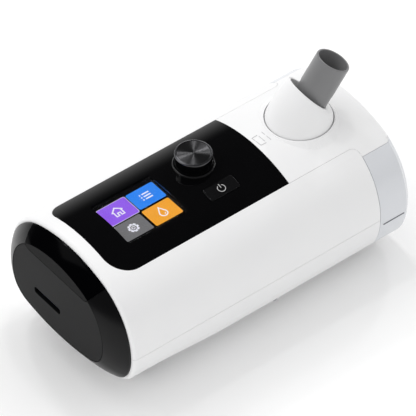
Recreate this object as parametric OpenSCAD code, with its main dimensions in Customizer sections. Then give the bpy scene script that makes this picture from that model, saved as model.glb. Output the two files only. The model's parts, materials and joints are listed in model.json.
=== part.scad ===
/* [Body] */
// Length of the white body with its tank, without the end cap's bulge
body_l = 214.6; // [205:0.2:225]
// How far the end cap's flat face stands out past the body's rim
cap_out = 10.6; // [8:0.2:13]
// Radius of the crowned top
top_r = 90; // [84:1:98]
// Radius of the shoulders
shoulder_r = 43; // [41:0.5:45]
// Radius of the sides
side_r = 54; // [51:0.5:57]
// Radius of the lower corners
corner_r = 24.5; // [23:0.5:26]
// Angle from straight up where the crown meets the shoulder
crown_a = 21; // [19:0.5:23]
// Angle from straight up where the shoulder meets the side
shoulder_a = 65; // [62:0.5:68]
// Angle from straight up where the side meets the lower corner
side_a = 111; // [108:0.5:114]
// Angle from straight up where the lower corner meets the bottom
corner_a = 163; // [160:0.5:166]
// Wall of the moulded shells
wall = 2.5; // [2:0.1:3]
// Height of the seam between the base and the upper shell
seam_z = 43; // [40:0.5:46]
// Rounding of the rim at the end cap
rim_round = 2.5; // [1.5:0.1:3]
// Rounding of the tank end
end_round = 6; // [4:0.5:7]

/* [Panel and display] */
// Length of the deck behind the panel, with the part over the tank
deck_l = 77; // [72:0.2:82]
// Width of the control panel and of the deck behind it
panel_w = 70.6; // [66:0.2:74]
// White strip between the rim and the panel
panel_margin = 9.2; // [8:0.2:12]
// Thickness of the panel
panel_t = 2; // [1.6:0.1:2.2]
// Radius of the panel's front left corner
panel_r_front = 15; // [8:0.5:18]
// Radius of the panel's rear left corner
panel_r_rear = 9; // [5:0.5:12]
// Length of the display window
window_l = 45; // [38:0.2:46]
// Width of the display window
window_w = 36; // [30:0.2:37]
// Distance from the panel's left edge to the middle of the window
window_x = 40.2; // [36:0.2:42]
// Forward tilt of the display module
display_tilt = 5; // [0:0.5:6]

/* [Knob and button] */
// Distance from the panel's left edge to the knob's axis
knob_x = 89.7; // [86:0.1:92]
// Distance of the knob's axis behind the body's middle
knob_y = 7.6; // [4:0.1:9]
// Diameter of the knob
knob_d = 23.3; // [20:0.1:25]
// Height of the knob above the panel
knob_h = 9.6; // [7:0.1:12]
// Diameter of the knob's shaft
shaft_d = 6; // [5:0.1:6.4]
// Width of the ring round the knob
knob_ring_w = 1.7; // [1.2:0.1:2]
// Travel of the knob when it is pressed
knob_press = 0.5; // [0.3:0.1:1]
// Length of the power button
button_l = 22.4; // [18:0.2:24]
// Width of the power button
button_w = 9.6; // [8:0.1:11]
// Distance of the button's middle in front of the body's middle
button_y = 17.9; // [16:0.1:19]
// How far the button stands out of the panel
button_proud = 0.4; // [0.2:0.1:0.8]

/* [End cap] */
// Distance of the black cap's edge inside the body's outline
cap_inset = 5.7; // [5:0.1:6.5]
// Distance of the flat face's edge inside the body's outline
face_inset = 20.5; // [18:0.1:21.5]
// Width of the card slot
slot_w = 25; // [24.6:0.1:26]
// Height of the card slot
slot_h = 4; // [3.2:0.1:5]
// Distance of the card slot behind the body's middle
slot_y = 10; // [6:0.5:14]

/* [Tank] */
// Length of the tank that shows past the shells
tank_show = 25.2; // [22:0.2:28]
// Width of the deck above the shown end of the tank
deck_end_w = 84; // [78:0.5:88]
// Depth of the tank's tub inside the body
tub_l = 64.8; // [60:0.2:68]
// Wall of the tank
tank_wall = 2.4; // [2:0.1:3]
// Height of the tray that the tank slides on
tray_z = 14; // [13:0.1:15]
// Height of the tub's rim
tub_z = 67.5; // [62:0.5:68]
// Diameter of the tank's two air ports
port_d = 20; // [16:0.5:21]
// Diameter of the heater plate
heater_d = 56; // [48:1:58]

/* [Outlet] */
// Distance of the outlet's axis from the tank end
outlet_x = 40.3; // [38:0.1:42]
// Diameter of the turning base of the outlet
swivel_d = 42.6; // [40:0.2:44]
// Outer diameter of the breathing tube connector
tube_d = 22; // [21.8:0.1:22.2]
// Bore of the connector
bore_d = 19.2; // [18:0.1:19.6]
// Length of the connector from the deck along its own axis
tube_l = 44.8; // [40:0.2:50]
// Lean of the connector from straight up
tube_lean = 29; // [25:0.5:33]
// Direction that the connector leans in, turned from the body's length
tube_yaw = -17; // [-60:1:60]
// Diameter of the cone's slanted mouth
mouth_d = 30.6; // [29:0.1:32]
// Lean of the cone's slanted mouth
mouth_lean = 45; // [40:1:50]

/* [Blower] */
// Diameter of the impeller
impeller_d = 54; // [48:1:56]
// Number of impeller blades
blades = 11; // [7:1:15]
// Diameter of the motor's shaft
motor_shaft_d = 4; // [3:0.1:5]

/* [Hidden] */
$fn = 72;
eps = 0.01;
far = 300;
// Gap between fixed pieces, between sliding pieces, and round the running shaft
gap = 0.2;
slide_gap = 0.3;
run_gap = 0.05;
foot_h = 3;

// The body's outline is a ring of tangent arcs. Angles are measured from straight up.
function way(a) = [sin(a), cos(a)];
crown_c = [0, -top_r];
shoulder_c = crown_c + (top_r - shoulder_r) * way(crown_a);
side_c = shoulder_c + (shoulder_r - side_r) * way(shoulder_a);
corner_c = side_c + (side_r - corner_r) * way(side_a);
low_d = corner_c[0] / sin(corner_a);
low_c = corner_c - low_d * way(corner_a);
low_r = corner_r + low_d;
top_z = foot_h + low_r - low_c[1];
half_w = side_c[0] + side_r;
// Each arc: centre, radius, first angle, last angle, number of steps
arcs = [[crown_c, top_r, 0, crown_a, 4], [shoulder_c, shoulder_r, crown_a, shoulder_a, 8],
    [side_c, side_r, shoulder_a, side_a, 7], [corner_c, corner_r, side_a, corner_a, 8],
    [low_c, low_r, corner_a, 180, 3]];
function arc_point(a, inset, k) = a[0] + (a[1] - inset) * way(a[2] + (a[3] - a[2]) * k / a[4]);
function half_outline(inset) = concat(
    [for (a = arcs, k = [0 : a[4] - 1]) arc_point(a, inset, k)],
    [arc_point(arcs[4], inset, arcs[4][4])]);
function outline(inset) = let(h = half_outline(inset), n = len(h)) concat(
    [for (p = h) [p[0], top_z + p[1]]],
    [for (i = [n - 2 : -1 : 1]) [-h[i][0], top_z + h[i][1]]]);

// Heights and half widths of the outline, moved inwards by an inset
function circle_rise(r, d) = sqrt(r * r - d * d);
function crown_z(y, inset = 0) = abs(y) <= (top_r - inset) * sin(crown_a)
    ? top_z + crown_c[1] + circle_rise(top_r - inset, y)
    : top_z + shoulder_c[1] + circle_rise(shoulder_r - inset, abs(y) - shoulder_c[0]);
function floor_z(y, inset = 0) = top_z + low_c[1] - circle_rise(low_r - inset, y);
function side_y(z, inset = 0) = let(v = z - top_z)
    v > side_c[1] + (side_r - inset) * cos(shoulder_a)
        ? shoulder_c[0] + circle_rise(shoulder_r - inset, v - shoulder_c[1])
    : v > side_c[1] + (side_r - inset) * cos(side_a)
        ? side_c[0] + circle_rise(side_r - inset, v - side_c[1])
    : corner_c[0] + circle_rise(corner_r - inset, v - corner_c[1]);

// Stations along the body
x_end = (body_l + cap_out) / 2;
x_rim = x_end - body_l;
x_face = x_rim - cap_out;
tank_x = x_end - tank_show;
panel_x0 = x_rim + panel_margin;
panel_x1 = x_end - deck_l;
panel_l = panel_x1 - panel_x0;
deck_x0 = panel_x1 + gap;
bay_x0 = tank_x - tub_l - 2.6;
duct_x = bay_x0 - 16;
blower = [(x_rim + duct_x) / 2 - 1, 4];

module prism(inset, x0, x1) {
    translate([x0, 0, 0]) rotate([90, 0, 90]) linear_extrude(x1 - x0) polygon(outline(inset));
}

module skin(t0, t1, x0, x1) {
    difference() {
        prism(t0, x0, x1);
        prism(t1, x0 - 1, x1 + 1);
    }
}

// Closed frame that follows the outline at its sides and is as wide at both ends
module frame_form(inset, w, x0, x1) {
    difference() {
        prism(inset, x0, x1);
        prism(inset + w, x0 + w, x1 - w);
    }
}

// Space between two heights, and between two stations
module slab(z0, z1, x0 = -far, x1 = far) {
    translate([x0, -far / 2, z0]) cube([x1 - x0, far, z1 - z0]);
}

// Solid through rings of the outline, each given as [station, inset]
module loft(rings) {
    n = len(outline(0));
    m = len(rings);
    points = [for (r = rings, p = outline(r[1])) [r[0], p[0], p[1]]];
    sides = [for (j = [0 : m - 2], i = [0 : n - 1]) let(k = (i + 1) % n)
        [j * n + i, j * n + k, (j + 1) * n + k, (j + 1) * n + i]];
    first = [for (i = [n - 1 : -1 : 0]) i];
    last = [for (i = [0 : n - 1]) (m - 1) * n + i];
    polyhedron(points, concat([first], sides, [last]));
}

rim_steps = 3;
end_steps = 5;
rim_rings = [for (k = [0 : rim_steps]) let(t = 90 * k / rim_steps)
    [x_rim + rim_round * (1 - cos(t)), rim_round * (1 - sin(t))]];
end_rings = [for (k = [0 : end_steps]) let(t = 90 * k / end_steps)
    [x_end - end_round * (1 - sin(t)), end_round * (1 - cos(t))]];

// Waste outside a rounded corner that stands at the origin
module corner_waste(r) {
    difference() {
        translate([-1, -1]) square(r + 1);
        translate([r, r]) circle(r);
    }
}

module rounded_rect(l, w, r) {
    difference() {
        square([l, w], center = true);
        for (i = [0, 1], j = [0, 1]) mirror([i, 0]) mirror([0, j])
            translate([-l / 2, -w / 2]) corner_waste(r);
    }
}

module panel_plan(grow = 0) {
    w = panel_w / 2 + grow;
    difference() {
        translate([panel_x0 - grow, -w]) square([panel_l + 2 * grow, 2 * w]);
        translate([panel_x0 - grow, -w]) corner_waste(panel_r_front + grow);
        translate([panel_x0 - grow, w]) mirror([0, 1]) corner_waste(panel_r_rear + grow);
    }
}

// Plan of the deck. It flares round the upper shell's rounded corners at the tank.
flare_r = 5;
module deck_plan(grow = 0) {
    w = panel_w / 2 + grow;
    end_w = deck_end_w / 2 + grow;
    translate([deck_x0 - grow, -w]) square([tank_x + gap - deck_x0 + grow + eps, 2 * w]);
    translate([tank_x + gap - grow, -end_w]) square([far, 2 * end_w]);
    for (s = [0, 1]) mirror([0, s]) difference() {
        translate([tank_x - flare_r, panel_w / 2 - eps]) square([flare_r + gap + eps, flare_r + eps]);
        translate([tank_x - flare_r, panel_w / 2 + flare_r]) circle(flare_r - grow);
    }
}

// Shells
rim_depth = 4.4;
ledge_depth = 1.4;
ledge_inset = 3.8;
ledge_t = 1.6;
tongue_h = 1.5;
deck_split_z = crown_z(deck_end_w / 2);
filter_l = 44;
filter_win = [blower[0] - filter_l / 2, blower[0] + filter_l / 2, seam_z + 3, seam_z + 27];
boss_r = 4.5;
screw_r = 1.5;
case_bosses = [for (s = [-1, 1]) [x_rim + 13, s * 36]];
bay_bosses = [for (s = [-1, 1]) [bay_x0 - 8, s * (side_y(seam_z, wall) - 8)]];
bosses = concat(case_bosses, bay_bosses);
board_z = seam_z + 19;
board_w = 2 * (side_y(board_z, wall) - 5);
board_x = [x_rim + 18, duct_x - 2];
post_r = 2.6;
posts = [for (x = [board_x[0] + 4, board_x[1] - 3], s = [-1, 1]) [x, s * (board_w / 2 - 3)]];
foot_r = 7;
foot_top = 7.4;
foot_spots = [for (x = [x_rim + 26, x_end - 28.6], s = [-1, 1]) [x, s * 30]];

// Cut at the rim: a white ledge, then the hole that the end cap plugs
module rim_cut() {
    prism(cap_inset, x_rim - 1, x_rim + rim_depth + 1);
    prism(ledge_inset, x_rim - 1, x_rim + ledge_depth);
}

module filter_window(grow) {
    translate([filter_win[0] - grow, 20, filter_win[2] - grow])
        cube([filter_win[1] - filter_win[0] + 2 * grow, half_w, filter_win[3] - filter_win[2] + 2 * grow]);
}

module upper_shell() {
    color("white") {
        difference() {
            loft(concat(rim_rings, [[tank_x, 0]]));
            prism(wall, x_rim + rim_depth, tank_x + 1);
            rim_cut();
            slab(-1, seam_z + gap);
            intersection() {
                prism(wall / 2, x_rim + rim_depth, tank_x + 1);
                slab(0, seam_z + tongue_h);
            }
            translate([0, 0, board_z]) linear_extrude(far) panel_plan(gap);
            translate([0, 0, board_z]) linear_extrude(far) deck_plan(gap);
            filter_window(gap);
        }
        // Ledge that the panel rests on
        intersection() {
            skin(panel_t, panel_t + 2, panel_x0 - 3, deck_x0);
            translate([0, 0, board_z]) linear_extrude(far) difference() {
                panel_plan(1.5);
                panel_plan(-3);
                translate([panel_x1 - 3, -far / 2]) square([far, far]);
            }
        }
        // Ledge under the deck's sides, and its root in the shell
        intersection() {
            skin(wall, wall + ledge_t, deck_x0, tank_x - flare_r - 1);
            for (s = [0, 1]) mirror([0, s]) translate([deck_x0, panel_w / 2 - 3, board_z]) cube([far, 4, far]);
        }
        intersection() {
            skin(wall / 2, wall + ledge_t, deck_x0, tank_x - flare_r - 1);
            for (s = [0, 1]) mirror([0, s]) translate([deck_x0, panel_w / 2 + gap, board_z])
                cube([far, 1.3, far]);
        }
        intersection() {
            prism(panel_t, x_rim + rim_depth, tank_x);
            for (b = bosses) translate([b[0], b[1], seam_z + gap]) difference() {
                cylinder(far, boss_r - 0.5, boss_r - 0.5);
                translate([0, 0, -1]) cylinder(10, screw_r, screw_r);
            }
        }
    }
}

// Lower shell. It runs on under the tank as a tray.
module base_shell() {
    color("white") difference() {
        union() {
            difference() {
                loft(concat(rim_rings, end_rings));
                prism(wall, x_rim + rim_depth, x_end - wall);
                rim_cut();
                slab(seam_z, far);
                slab(tray_z, far, tank_x, far);
            }
            intersection() {
                skin(wall / 2 + gap / 2, wall, x_rim + rim_depth, tank_x);
                slab(seam_z - 1, seam_z + tongue_h);
            }
            intersection() {
                prism(1, x_rim + rim_depth, x_end - wall);
                union() {
                    for (b = bosses) translate([b[0], b[1], 0]) cylinder(seam_z, boss_r, boss_r);
                    for (p = posts) translate([p[0], p[1], 0]) cylinder(board_z, post_r, post_r);
                    for (f = foot_spots) translate([f[0], f[1], 0]) cylinder(foot_top + 2, foot_r + 2, foot_r + 2);
                    for (m = mount_spots) translate([m[0], m[1], 0]) cylinder(mount_z, 5, 5);
                    translate([heater_x, 0, 0]) cylinder(spring_z0, spring_r + 3, spring_r + 3);
                    for (x = bay_ribs) translate([x - 1, -30, 0]) cube([2, 60, bay_floor_z]);
                }
            }
        }
        for (b = bosses) translate([b[0], b[1], 0]) {
            cylinder(screw_head_z, 3.2, 3.2);
            cylinder(seam_z + 1, screw_r + 0.1, screw_r + 0.1);
        }
        for (p = posts) translate([p[0], p[1], board_z - 8]) cylinder(9, 1, 1);
        for (f = foot_spots) translate([f[0], f[1], 0]) cylinder(foot_top, foot_r, foot_r);
        translate([jack_x, 0, jack_z]) rotate([-90, 0, 0]) cylinder(far, jack_nose_r + gap, jack_nose_r + gap);
    }
}

// Deck over the tank, with the hub that carries the swivel
swivel_x = x_end - outlet_x;
swivel_r = swivel_d / 2;
collar_z = top_z + 0.15;
hub_z = top_z - 7.5;
ledge_z = top_z - 3.2;
neck_r = swivel_r - 3.8;
retainer_r = neck_r + 3.2;
blend = 6.2;
module deck_cover() {
    color("white") difference() {
        union() {
            difference() {
                intersection() {
                    loft(concat([[deck_x0, 0]], end_rings));
                    translate([0, 0, deck_split_z]) linear_extrude(far) deck_plan();
                }
                prism(wall, deck_x0 - 1, x_end - wall);
            }
            translate([swivel_x + retainer_r + gap, -deck_end_w / 2 + 3, deck_split_z])
                cube([outlet_x - retainer_r - gap - wall + 0.5, deck_end_w - 6, 1.8]);
            translate([swivel_x, 0, hub_z]) cylinder(ledge_z + 2 - hub_z, swivel_r + 2.5, swivel_r + 2.5);
            translate([swivel_x, 0, collar_z - blend + 1])
                cylinder(blend - 1, swivel_r + 1 + blend, swivel_r + 1.2);
        }
        translate([swivel_x, 0, ledge_z]) cylinder(far, swivel_r + slide_gap, swivel_r + slide_gap);
        translate([swivel_x, 0, 0]) cylinder(far, neck_r + slide_gap, neck_r + slide_gap);
    }
}

// Bay that the tank slides into: floor, side walls, inner end and roof with the two air ports
bay_wall = 2;
bay_inset = 4.4;
bay_floor_z = tray_z - 2.2;
roof_z = tub_z + 9.5;
roof_top = roof_z + bay_wall;
bay_x1 = tank_x - 0.4;
bay_ribs = [bay_x0 + 4, swivel_x + 17];
port_r = port_d / 2;
seal_r = port_r + 3.2;
inlet_port = [bay_x0 + 16, -14];
outlet_port = [swivel_x, 0];
heater_x = swivel_x - 15;
heater_r = heater_d / 2;
module tank_bay() {
    color("gainsboro") difference() {
        union() {
            difference() {
                intersection() {
                    prism(bay_inset, bay_x0, bay_x1);
                    slab(bay_floor_z, roof_top);
                }
                intersection() {
                    prism(bay_inset + bay_wall, bay_x0 + bay_wall, tank_x + 1);
                    slab(tray_z, roof_z);
                }
            }
            intersection() {
                prism(wall + gap, bay_x1 - 3, x_end - wall - gap);
                slab(bay_floor_z, tray_z);
            }
            intersection() {
                skin(wall + gap, bay_inset + bay_wall, bay_x1 - 3, bay_x1);
                slab(bay_floor_z, roof_top);
            }
        }
        for (p = [inlet_port, outlet_port]) translate([p[0], p[1], roof_z - 1])
            cylinder(5, seal_r, seal_r);
        translate([heater_x, 0, 0]) cylinder(tray_z + 1, heater_r + slide_gap, heater_r + slide_gap);
    }
}

module ring_seal(p, z0, z1) {
    translate([p[0], p[1], z0]) difference() {
        cylinder(z1 - z0, seal_r, seal_r);
        translate([0, 0, -1]) cylinder(z1 - z0 + 2, port_r, port_r);
        for (z = [1.6 : 1.6 : z1 - z0 - 0.8]) translate([0, 0, z]) difference() {
            cylinder(0.6, seal_r + 1, seal_r + 1);
            translate([0, 0, -1]) cylinder(3, seal_r - 0.7, seal_r - 0.7);
        }
    }
}
port_top = roof_z - 1.2;
module inlet_seal() { color("dimgray") ring_seal(inlet_port, port_top + slide_gap, roof_top); }
module outlet_seal() { color("dimgray") ring_seal(outlet_port, port_top + slide_gap, neck_z - slide_gap); }

// Heater under the tank, held up by one spring
heater_t = 2.5;
heater_z = tray_z - heater_t;
spring_z0 = floor_z(heater_r, wall) + 0.1;
spring_r = 11;
spring_wire = 0.8;
module heater_plate() {
    color("silver") translate([heater_x, 0, heater_z]) difference() {
        cylinder(heater_t, heater_r, heater_r);
        translate([0, 0, -1]) difference() {
            cylinder(1.5, spring_r + 1, spring_r + 1);
            translate([0, 0, -1]) cylinder(4, spring_r - 1, spring_r - 1);
        }
    }
}

spring_turns = 2;
spring_steps = 14;
spring_sides = 8;
module heater_spring() {
    r = spring_wire / 2;
    rise = heater_z + 0.5 - spring_z0 - spring_wire;
    n = spring_turns * spring_steps;
    points = [for (i = [0 : n], k = [0 : spring_sides - 1])
        let(a = 360 * i / spring_steps, b = 360 * k / spring_sides, d = spring_r + r * cos(b))
        [heater_x + d * cos(a), d * sin(a), spring_z0 + r + rise * i / n + r * sin(b)]];
    sides = [for (i = [0 : n - 1], k = [0 : spring_sides - 1]) let(q = (k + 1) % spring_sides)
        [i * spring_sides + k, i * spring_sides + q, (i + 1) * spring_sides + q, (i + 1) * spring_sides + k]];
    first = [for (k = [spring_sides - 1 : -1 : 0]) k];
    last = [for (k = [0 : spring_sides - 1]) n * spring_sides + k];
    color("silver") polyhedron(points, concat([first], sides, [last]));
}

// Water tank
tank_z = tray_z + slide_gap;
tank_top = deck_split_z - slide_gap;
tub_inset = bay_inset + bay_wall + 0.6;
tub_x0 = bay_x0 + bay_wall + 0.6;
block_x = tank_x + 0.35;
floor_t = 2.2;
rim_h = 3;
rim_x0 = tub_x0 + 8;
rim_x1 = block_x - tank_wall;
lid_z = tub_z + 0.6;
lid_t = 2.4;
hinge_x = tub_x0 + 3.2;
hinge_z = lid_z + 3.4;
hinge_pin_r = 1;
module tank_body() {
    color("lightsteelblue", 0.6) difference() {
        union() {
            intersection() {
                prism(tub_inset, tub_x0, block_x + 1);
                slab(tank_z, tub_z);
            }
            intersection() {
                loft(concat([[block_x, 0]], end_rings));
                slab(tank_z, tank_top);
            }
            for (s = [-1, 1]) translate([hinge_x, s * 22, hinge_z]) hinge_ear(hinge_z - tub_z + 1);
        }
        intersection() {
            prism(tub_inset + tank_wall, tub_x0 + tank_wall, block_x + tank_wall + 1);
            slab(tank_z + floor_t, tub_z - rim_h);
        }
        intersection() {
            prism(tub_inset + tank_wall, rim_x0, rim_x1);
            slab(tub_z - rim_h - 1, tub_z + 1);
        }
        intersection() {
            prism(tank_wall + 0.6, block_x + tank_wall, x_end - tank_wall - 1.1);
            slab(tank_z + floor_t, tank_top - tank_wall);
        }
        translate([heater_x, 0, 0]) cylinder(tank_z + 1.2, heater_r + 2, heater_r + 2);
        translate([heater_x, 0, 0]) cylinder(tank_z + floor_t + 1, heater_r - 1, heater_r - 1);
        translate([hinge_x, 0, hinge_z]) rotate([90, 0, 0]) cylinder(60, hinge_pin_r, hinge_pin_r, center = true);
        // Grip in the end face
        translate([x_end + 10, 0, tank_top - 20]) rotate([90, 0, 0]) cylinder(54, 12.5, 12.5, center = true);
    }
}

module hinge_ear(drop) {
    rotate([90, 0, 0]) cylinder(4, 2.2, 2.2, center = true);
    translate([-2.2, -2, -drop]) cube([4.4, 4, drop]);
}

module tank_lid() {
    color("whitesmoke") difference() {
        union() {
            intersection() {
                prism(tub_inset, tub_x0, block_x - gap);
                slab(lid_z, lid_z + lid_t);
            }
            intersection() {
                frame_form(tub_inset + tank_wall + gap, 1.6, rim_x0 + gap, rim_x1 - gap);
                slab(tub_z - rim_h, lid_z + 1);
            }
            for (p = [inlet_port, outlet_port]) translate([p[0], p[1], lid_z])
                cylinder(port_top - lid_z, port_r + 2, port_r + 2);
            translate([hinge_x, 0, hinge_z]) rotate([90, 0, 0]) cylinder(38, 2.2, 2.2, center = true);
            translate([hinge_x - 2.2, -19, lid_z]) cube([4.4, 38, hinge_z - lid_z]);
        }
        for (p = [inlet_port, outlet_port]) translate([p[0], p[1], 0]) cylinder(far, port_r, port_r);
        translate([hinge_x, 0, hinge_z]) rotate([90, 0, 0])
            cylinder(60, hinge_pin_r + run_gap, hinge_pin_r + run_gap, center = true);
        for (s = [-1, 1]) translate([hinge_x - 3.5, s * 22 - 2.3, 0]) cube([7, 4.6, far]);
    }
}

module lid_hinge_pin() {
    color("silver") translate([hinge_x, 0, hinge_z]) rotate([90, 0, 0])
        cylinder(48, hinge_pin_r, hinge_pin_r, center = true);
}

module lid_seal() {
    color("dimgray") intersection() {
        frame_form(tub_inset + 0.4, tank_wall - 0.8, rim_x0 - tank_wall + 0.4, block_x - 0.4);
        slab(tub_z, lid_z);
    }
}

module tank_heat_plate() {
    color("silver") translate([heater_x, 0, tank_z]) cylinder(1.2, heater_r + 2, heater_r + 2);
}

// Outlet: a cone that turns in the deck, with a slanted mouth, and the connector inside it
neck_z = hub_z - 2.2;
mouth_out = 15;
mouth_shift = 2;
mouth_r = mouth_d / 2;
cone_sides = 48;
cone_rings = 4;
cone_bulge = 1.2;
mouth_along = mouth_out + 2;
mouth_c = mouth_along * [sin(tube_lean), 0, cos(tube_lean)]
    + mouth_shift * [-cos(mouth_lean), 0, sin(mouth_lean)];
function base_point(a, r) = [r * cos(a), r * sin(a), collar_z - top_z];
function mouth_point(a, r) = mouth_c + r * [cos(a) * cos(mouth_lean), sin(a), -cos(a) * sin(mouth_lean)];

module at_outlet() {
    translate([swivel_x, 0, top_z]) rotate([0, 0, tube_yaw]) children();
}

module cone_form(r0, r1) {
    points = [for (k = [0 : cone_rings], i = [0 : cone_sides - 1])
        let(a = 360 * i / cone_sides, t = k / cone_rings)
        (1 - t) * base_point(a, r0) + t * mouth_point(a, r1)
            + cone_bulge * 4 * t * (1 - t) * [cos(a), sin(a), 0]];
    n = cone_sides;
    sides = [for (k = [0 : cone_rings - 1], i = [0 : n - 1]) let(j = (i + 1) % n)
        [k * n + i, (k + 1) * n + i, (k + 1) * n + j, k * n + j]];
    first = [for (i = [0 : n - 1]) i];
    last = [for (i = [n - 1 : -1 : 0]) cone_rings * n + i];
    polyhedron(points, concat([first], sides, [last]));
}

tube_seat = 4;
tube_step = tube_l - tube_seat - 21.8;
module swivel_cone() {
    color("white") at_outlet() difference() {
        union() {
            cone_form(swivel_r, mouth_r);
            translate([0, 0, ledge_z + gap - top_z])
                cylinder(collar_z - ledge_z - gap + 0.1, swivel_r - 0.1, swivel_r - 0.1);
            translate([0, 0, neck_z - top_z]) cylinder(ledge_z + 1 - neck_z, neck_r, neck_r);
        }
        translate([0, 0, neck_z - top_z - 1]) cylinder(top_z - neck_z + 8, bore_d / 2, bore_d / 2);
        translate([0, 0, o_ring_z - o_ring_w - top_z]) difference() {
            cylinder(2 * o_ring_w, neck_r + 1, neck_r + 1);
            cylinder(2 * o_ring_w, o_ring_r - o_ring_w, o_ring_r - o_ring_w);
        }
        rotate([0, tube_lean, 0]) translate([0, 0, tube_seat]) cylinder(tube_l, tube_d / 2 - 0.2, tube_d / 2 - 0.2);
        translate(mouth_c) rotate([0, mouth_lean, 0]) translate([0, 0, -6])
            cylinder(20, mouth_r - 1.8, mouth_r - 1.8);
    }
}

module connector_tube() {
    color("dimgray") at_outlet() rotate([0, tube_lean, 0]) translate([0, 0, tube_seat]) rotate_extrude()
        polygon([[bore_d / 2, 0], [tube_d / 2 - 0.2, 0], [tube_d / 2 - 0.2, tube_step], [tube_d / 2, tube_step],
            [tube_d / 2, tube_l - tube_seat - 0.4], [tube_d / 2 - 0.4, tube_l - tube_seat],
            [bore_d / 2 + 0.4, tube_l - tube_seat], [bore_d / 2, tube_l - tube_seat - 0.4]]);
}

module swivel_retainer() {
    color("gray") translate([swivel_x, 0, neck_z]) difference() {
        cylinder(hub_z - gap - neck_z, retainer_r, retainer_r);
        translate([0, 0, -1]) cylinder(far, neck_r, neck_r);
    }
}

o_ring_w = 0.85;
o_ring_r = neck_r + slide_gap - run_gap - o_ring_w;
o_ring_z = (hub_z + ledge_z) / 2;
module swivel_o_ring() {
    color("black") translate([swivel_x, 0, o_ring_z]) rotate_extrude() translate([o_ring_r, 0]) circle(o_ring_w);
}

// Control panel with its window, knob hole and button hole
window_mid = panel_x0 + window_x;
lens_t = panel_t - 0.7;
lens_step = 0.6;
knob_axis = [panel_x0 + knob_x, knob_y];
knob_z = crown_z(knob_y);
knob_r = knob_d / 2;
ring_r = knob_r + 0.5 + knob_ring_w;
button_mid = [knob_axis[0] + 0.9, -button_y];
button_lean = asin(button_y / top_r);
key_z = top_z - 16;
key_t = 1.6;
key_x = [knob_axis[0] - 27, knob_axis[0] + 5];
key_posts = [for (x = [key_x[0] + 3, key_x[1] - 2.5], s = [-1, 1]) [x, s * 25]];
module at_button() {
    translate([button_mid[0], button_mid[1], crown_z(button_y)]) rotate([button_lean, 0, 0]) children();
}

module control_panel() {
    color([0.03, 0.03, 0.03]) difference() {
        union() {
            intersection() {
                skin(0, panel_t, panel_x0, panel_x1);
                translate([0, 0, board_z]) linear_extrude(far) panel_plan();
            }
            // Frame that carries the display, and posts for the key board
            intersection() {
                prism(1, panel_x0, panel_x1);
                union() {
                    translate([window_mid, 0, top_z - 12]) linear_extrude(far) difference() {
                        square([window_l + 10, window_w + 9], center = true);
                        square([window_l + 7, window_w + 6], center = true);
                    }
                    for (p = key_posts) translate([p[0], p[1], key_z + key_t]) cylinder(far, 2.2, 2.2);
                }
            }
        }
        translate([window_mid, 0, top_z - 8]) linear_extrude(far)
            square([window_l - 2 * lens_step, window_w - 2 * lens_step], center = true);
        intersection() {
            skin(-1, lens_t, window_mid - window_l / 2, window_mid + window_l / 2);
            translate([window_mid, 0, board_z]) linear_extrude(far) square([window_l, window_w], center = true);
        }
        translate([knob_axis[0], knob_axis[1], 0]) cylinder(far, ring_r + 0.1, ring_r + 0.1);
        at_button() translate([0, 0, -5]) linear_extrude(10) rounded_rect(button_l + 0.6, button_w + 0.6, 1.9);
    }
}

module display_lens() {
    color([0.1, 0.1, 0.12]) intersection() {
        skin(0, lens_t, window_mid - window_l / 2 + 0.1, window_mid + window_l / 2 - 0.1);
        translate([window_mid, 0, board_z]) linear_extrude(far)
            square([window_l, window_w - 0.2], center = true);
    }
}

module display_module() {
    color("darkslateblue") translate([window_mid, 0, crown_z(window_w / 2) - panel_t - 0.6])
        translate([0, window_w / 2, 0]) rotate([display_tilt, 0, 0]) translate([0, -window_w / 2, 0]) difference() {
            translate([0, 0, -3]) linear_extrude(3) rounded_rect(window_l + 7, window_w + 4, 1);
            translate([0, 0, -0.6]) linear_extrude(2) square([window_l - 1, window_w - 2], center = true);
        }
}

// Knob on a rotary encoder that also clicks when it is pressed
module at_knob(z) {
    translate([knob_axis[0], knob_axis[1], z]) children();
}
ring_floor = 4.2;
module knob_base_ring() {
    hole_r = bush_r + 0.1;
    color("black") at_knob(knob_z - ring_floor) rotate_extrude() polygon([[hole_r, 0], [ring_r, 0],
        [ring_r, ring_floor + 0.9], [ring_r - 0.4, ring_floor + 1.3], [ring_r - knob_ring_w + 0.3, ring_floor + 1.3],
        [ring_r - knob_ring_w, ring_floor + 1], [ring_r - knob_ring_w, 1.2], [hole_r, 1.2]]);
}
bush_r = shaft_d / 2 + 1;
knob_bottom = knob_z - ring_floor + 1.2 + knob_press + slide_gap;
knob_top = knob_z + knob_h;
module knob_cap() {
    h = knob_top - knob_bottom;
    color([0.05, 0.05, 0.05]) at_knob(knob_bottom) difference() {
        rotate_extrude() polygon([[0, 0], [knob_r - 0.4, 0], [knob_r, 0.4], [knob_r, h - 1],
            [knob_r - 1, h], [0, h]]);
        translate([0, 0, h - 0.7]) cylinder(2, knob_r - 1.4, knob_r - 1.4);
        translate([0, 0, -1]) cylinder(h - 1.4, shaft_d / 2, shaft_d / 2);
        translate([0, 0, -1]) cylinder(knob_hollow + 1, bush_r + 1.2, bush_r + 1.2);
    }
}
knob_hollow = 4;
module knob_top_disc() {
    color([0.25, 0.25, 0.25]) at_knob(knob_top - 0.7) cylinder(0.6, knob_r - 1.4, knob_r - 1.4);
}

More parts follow.
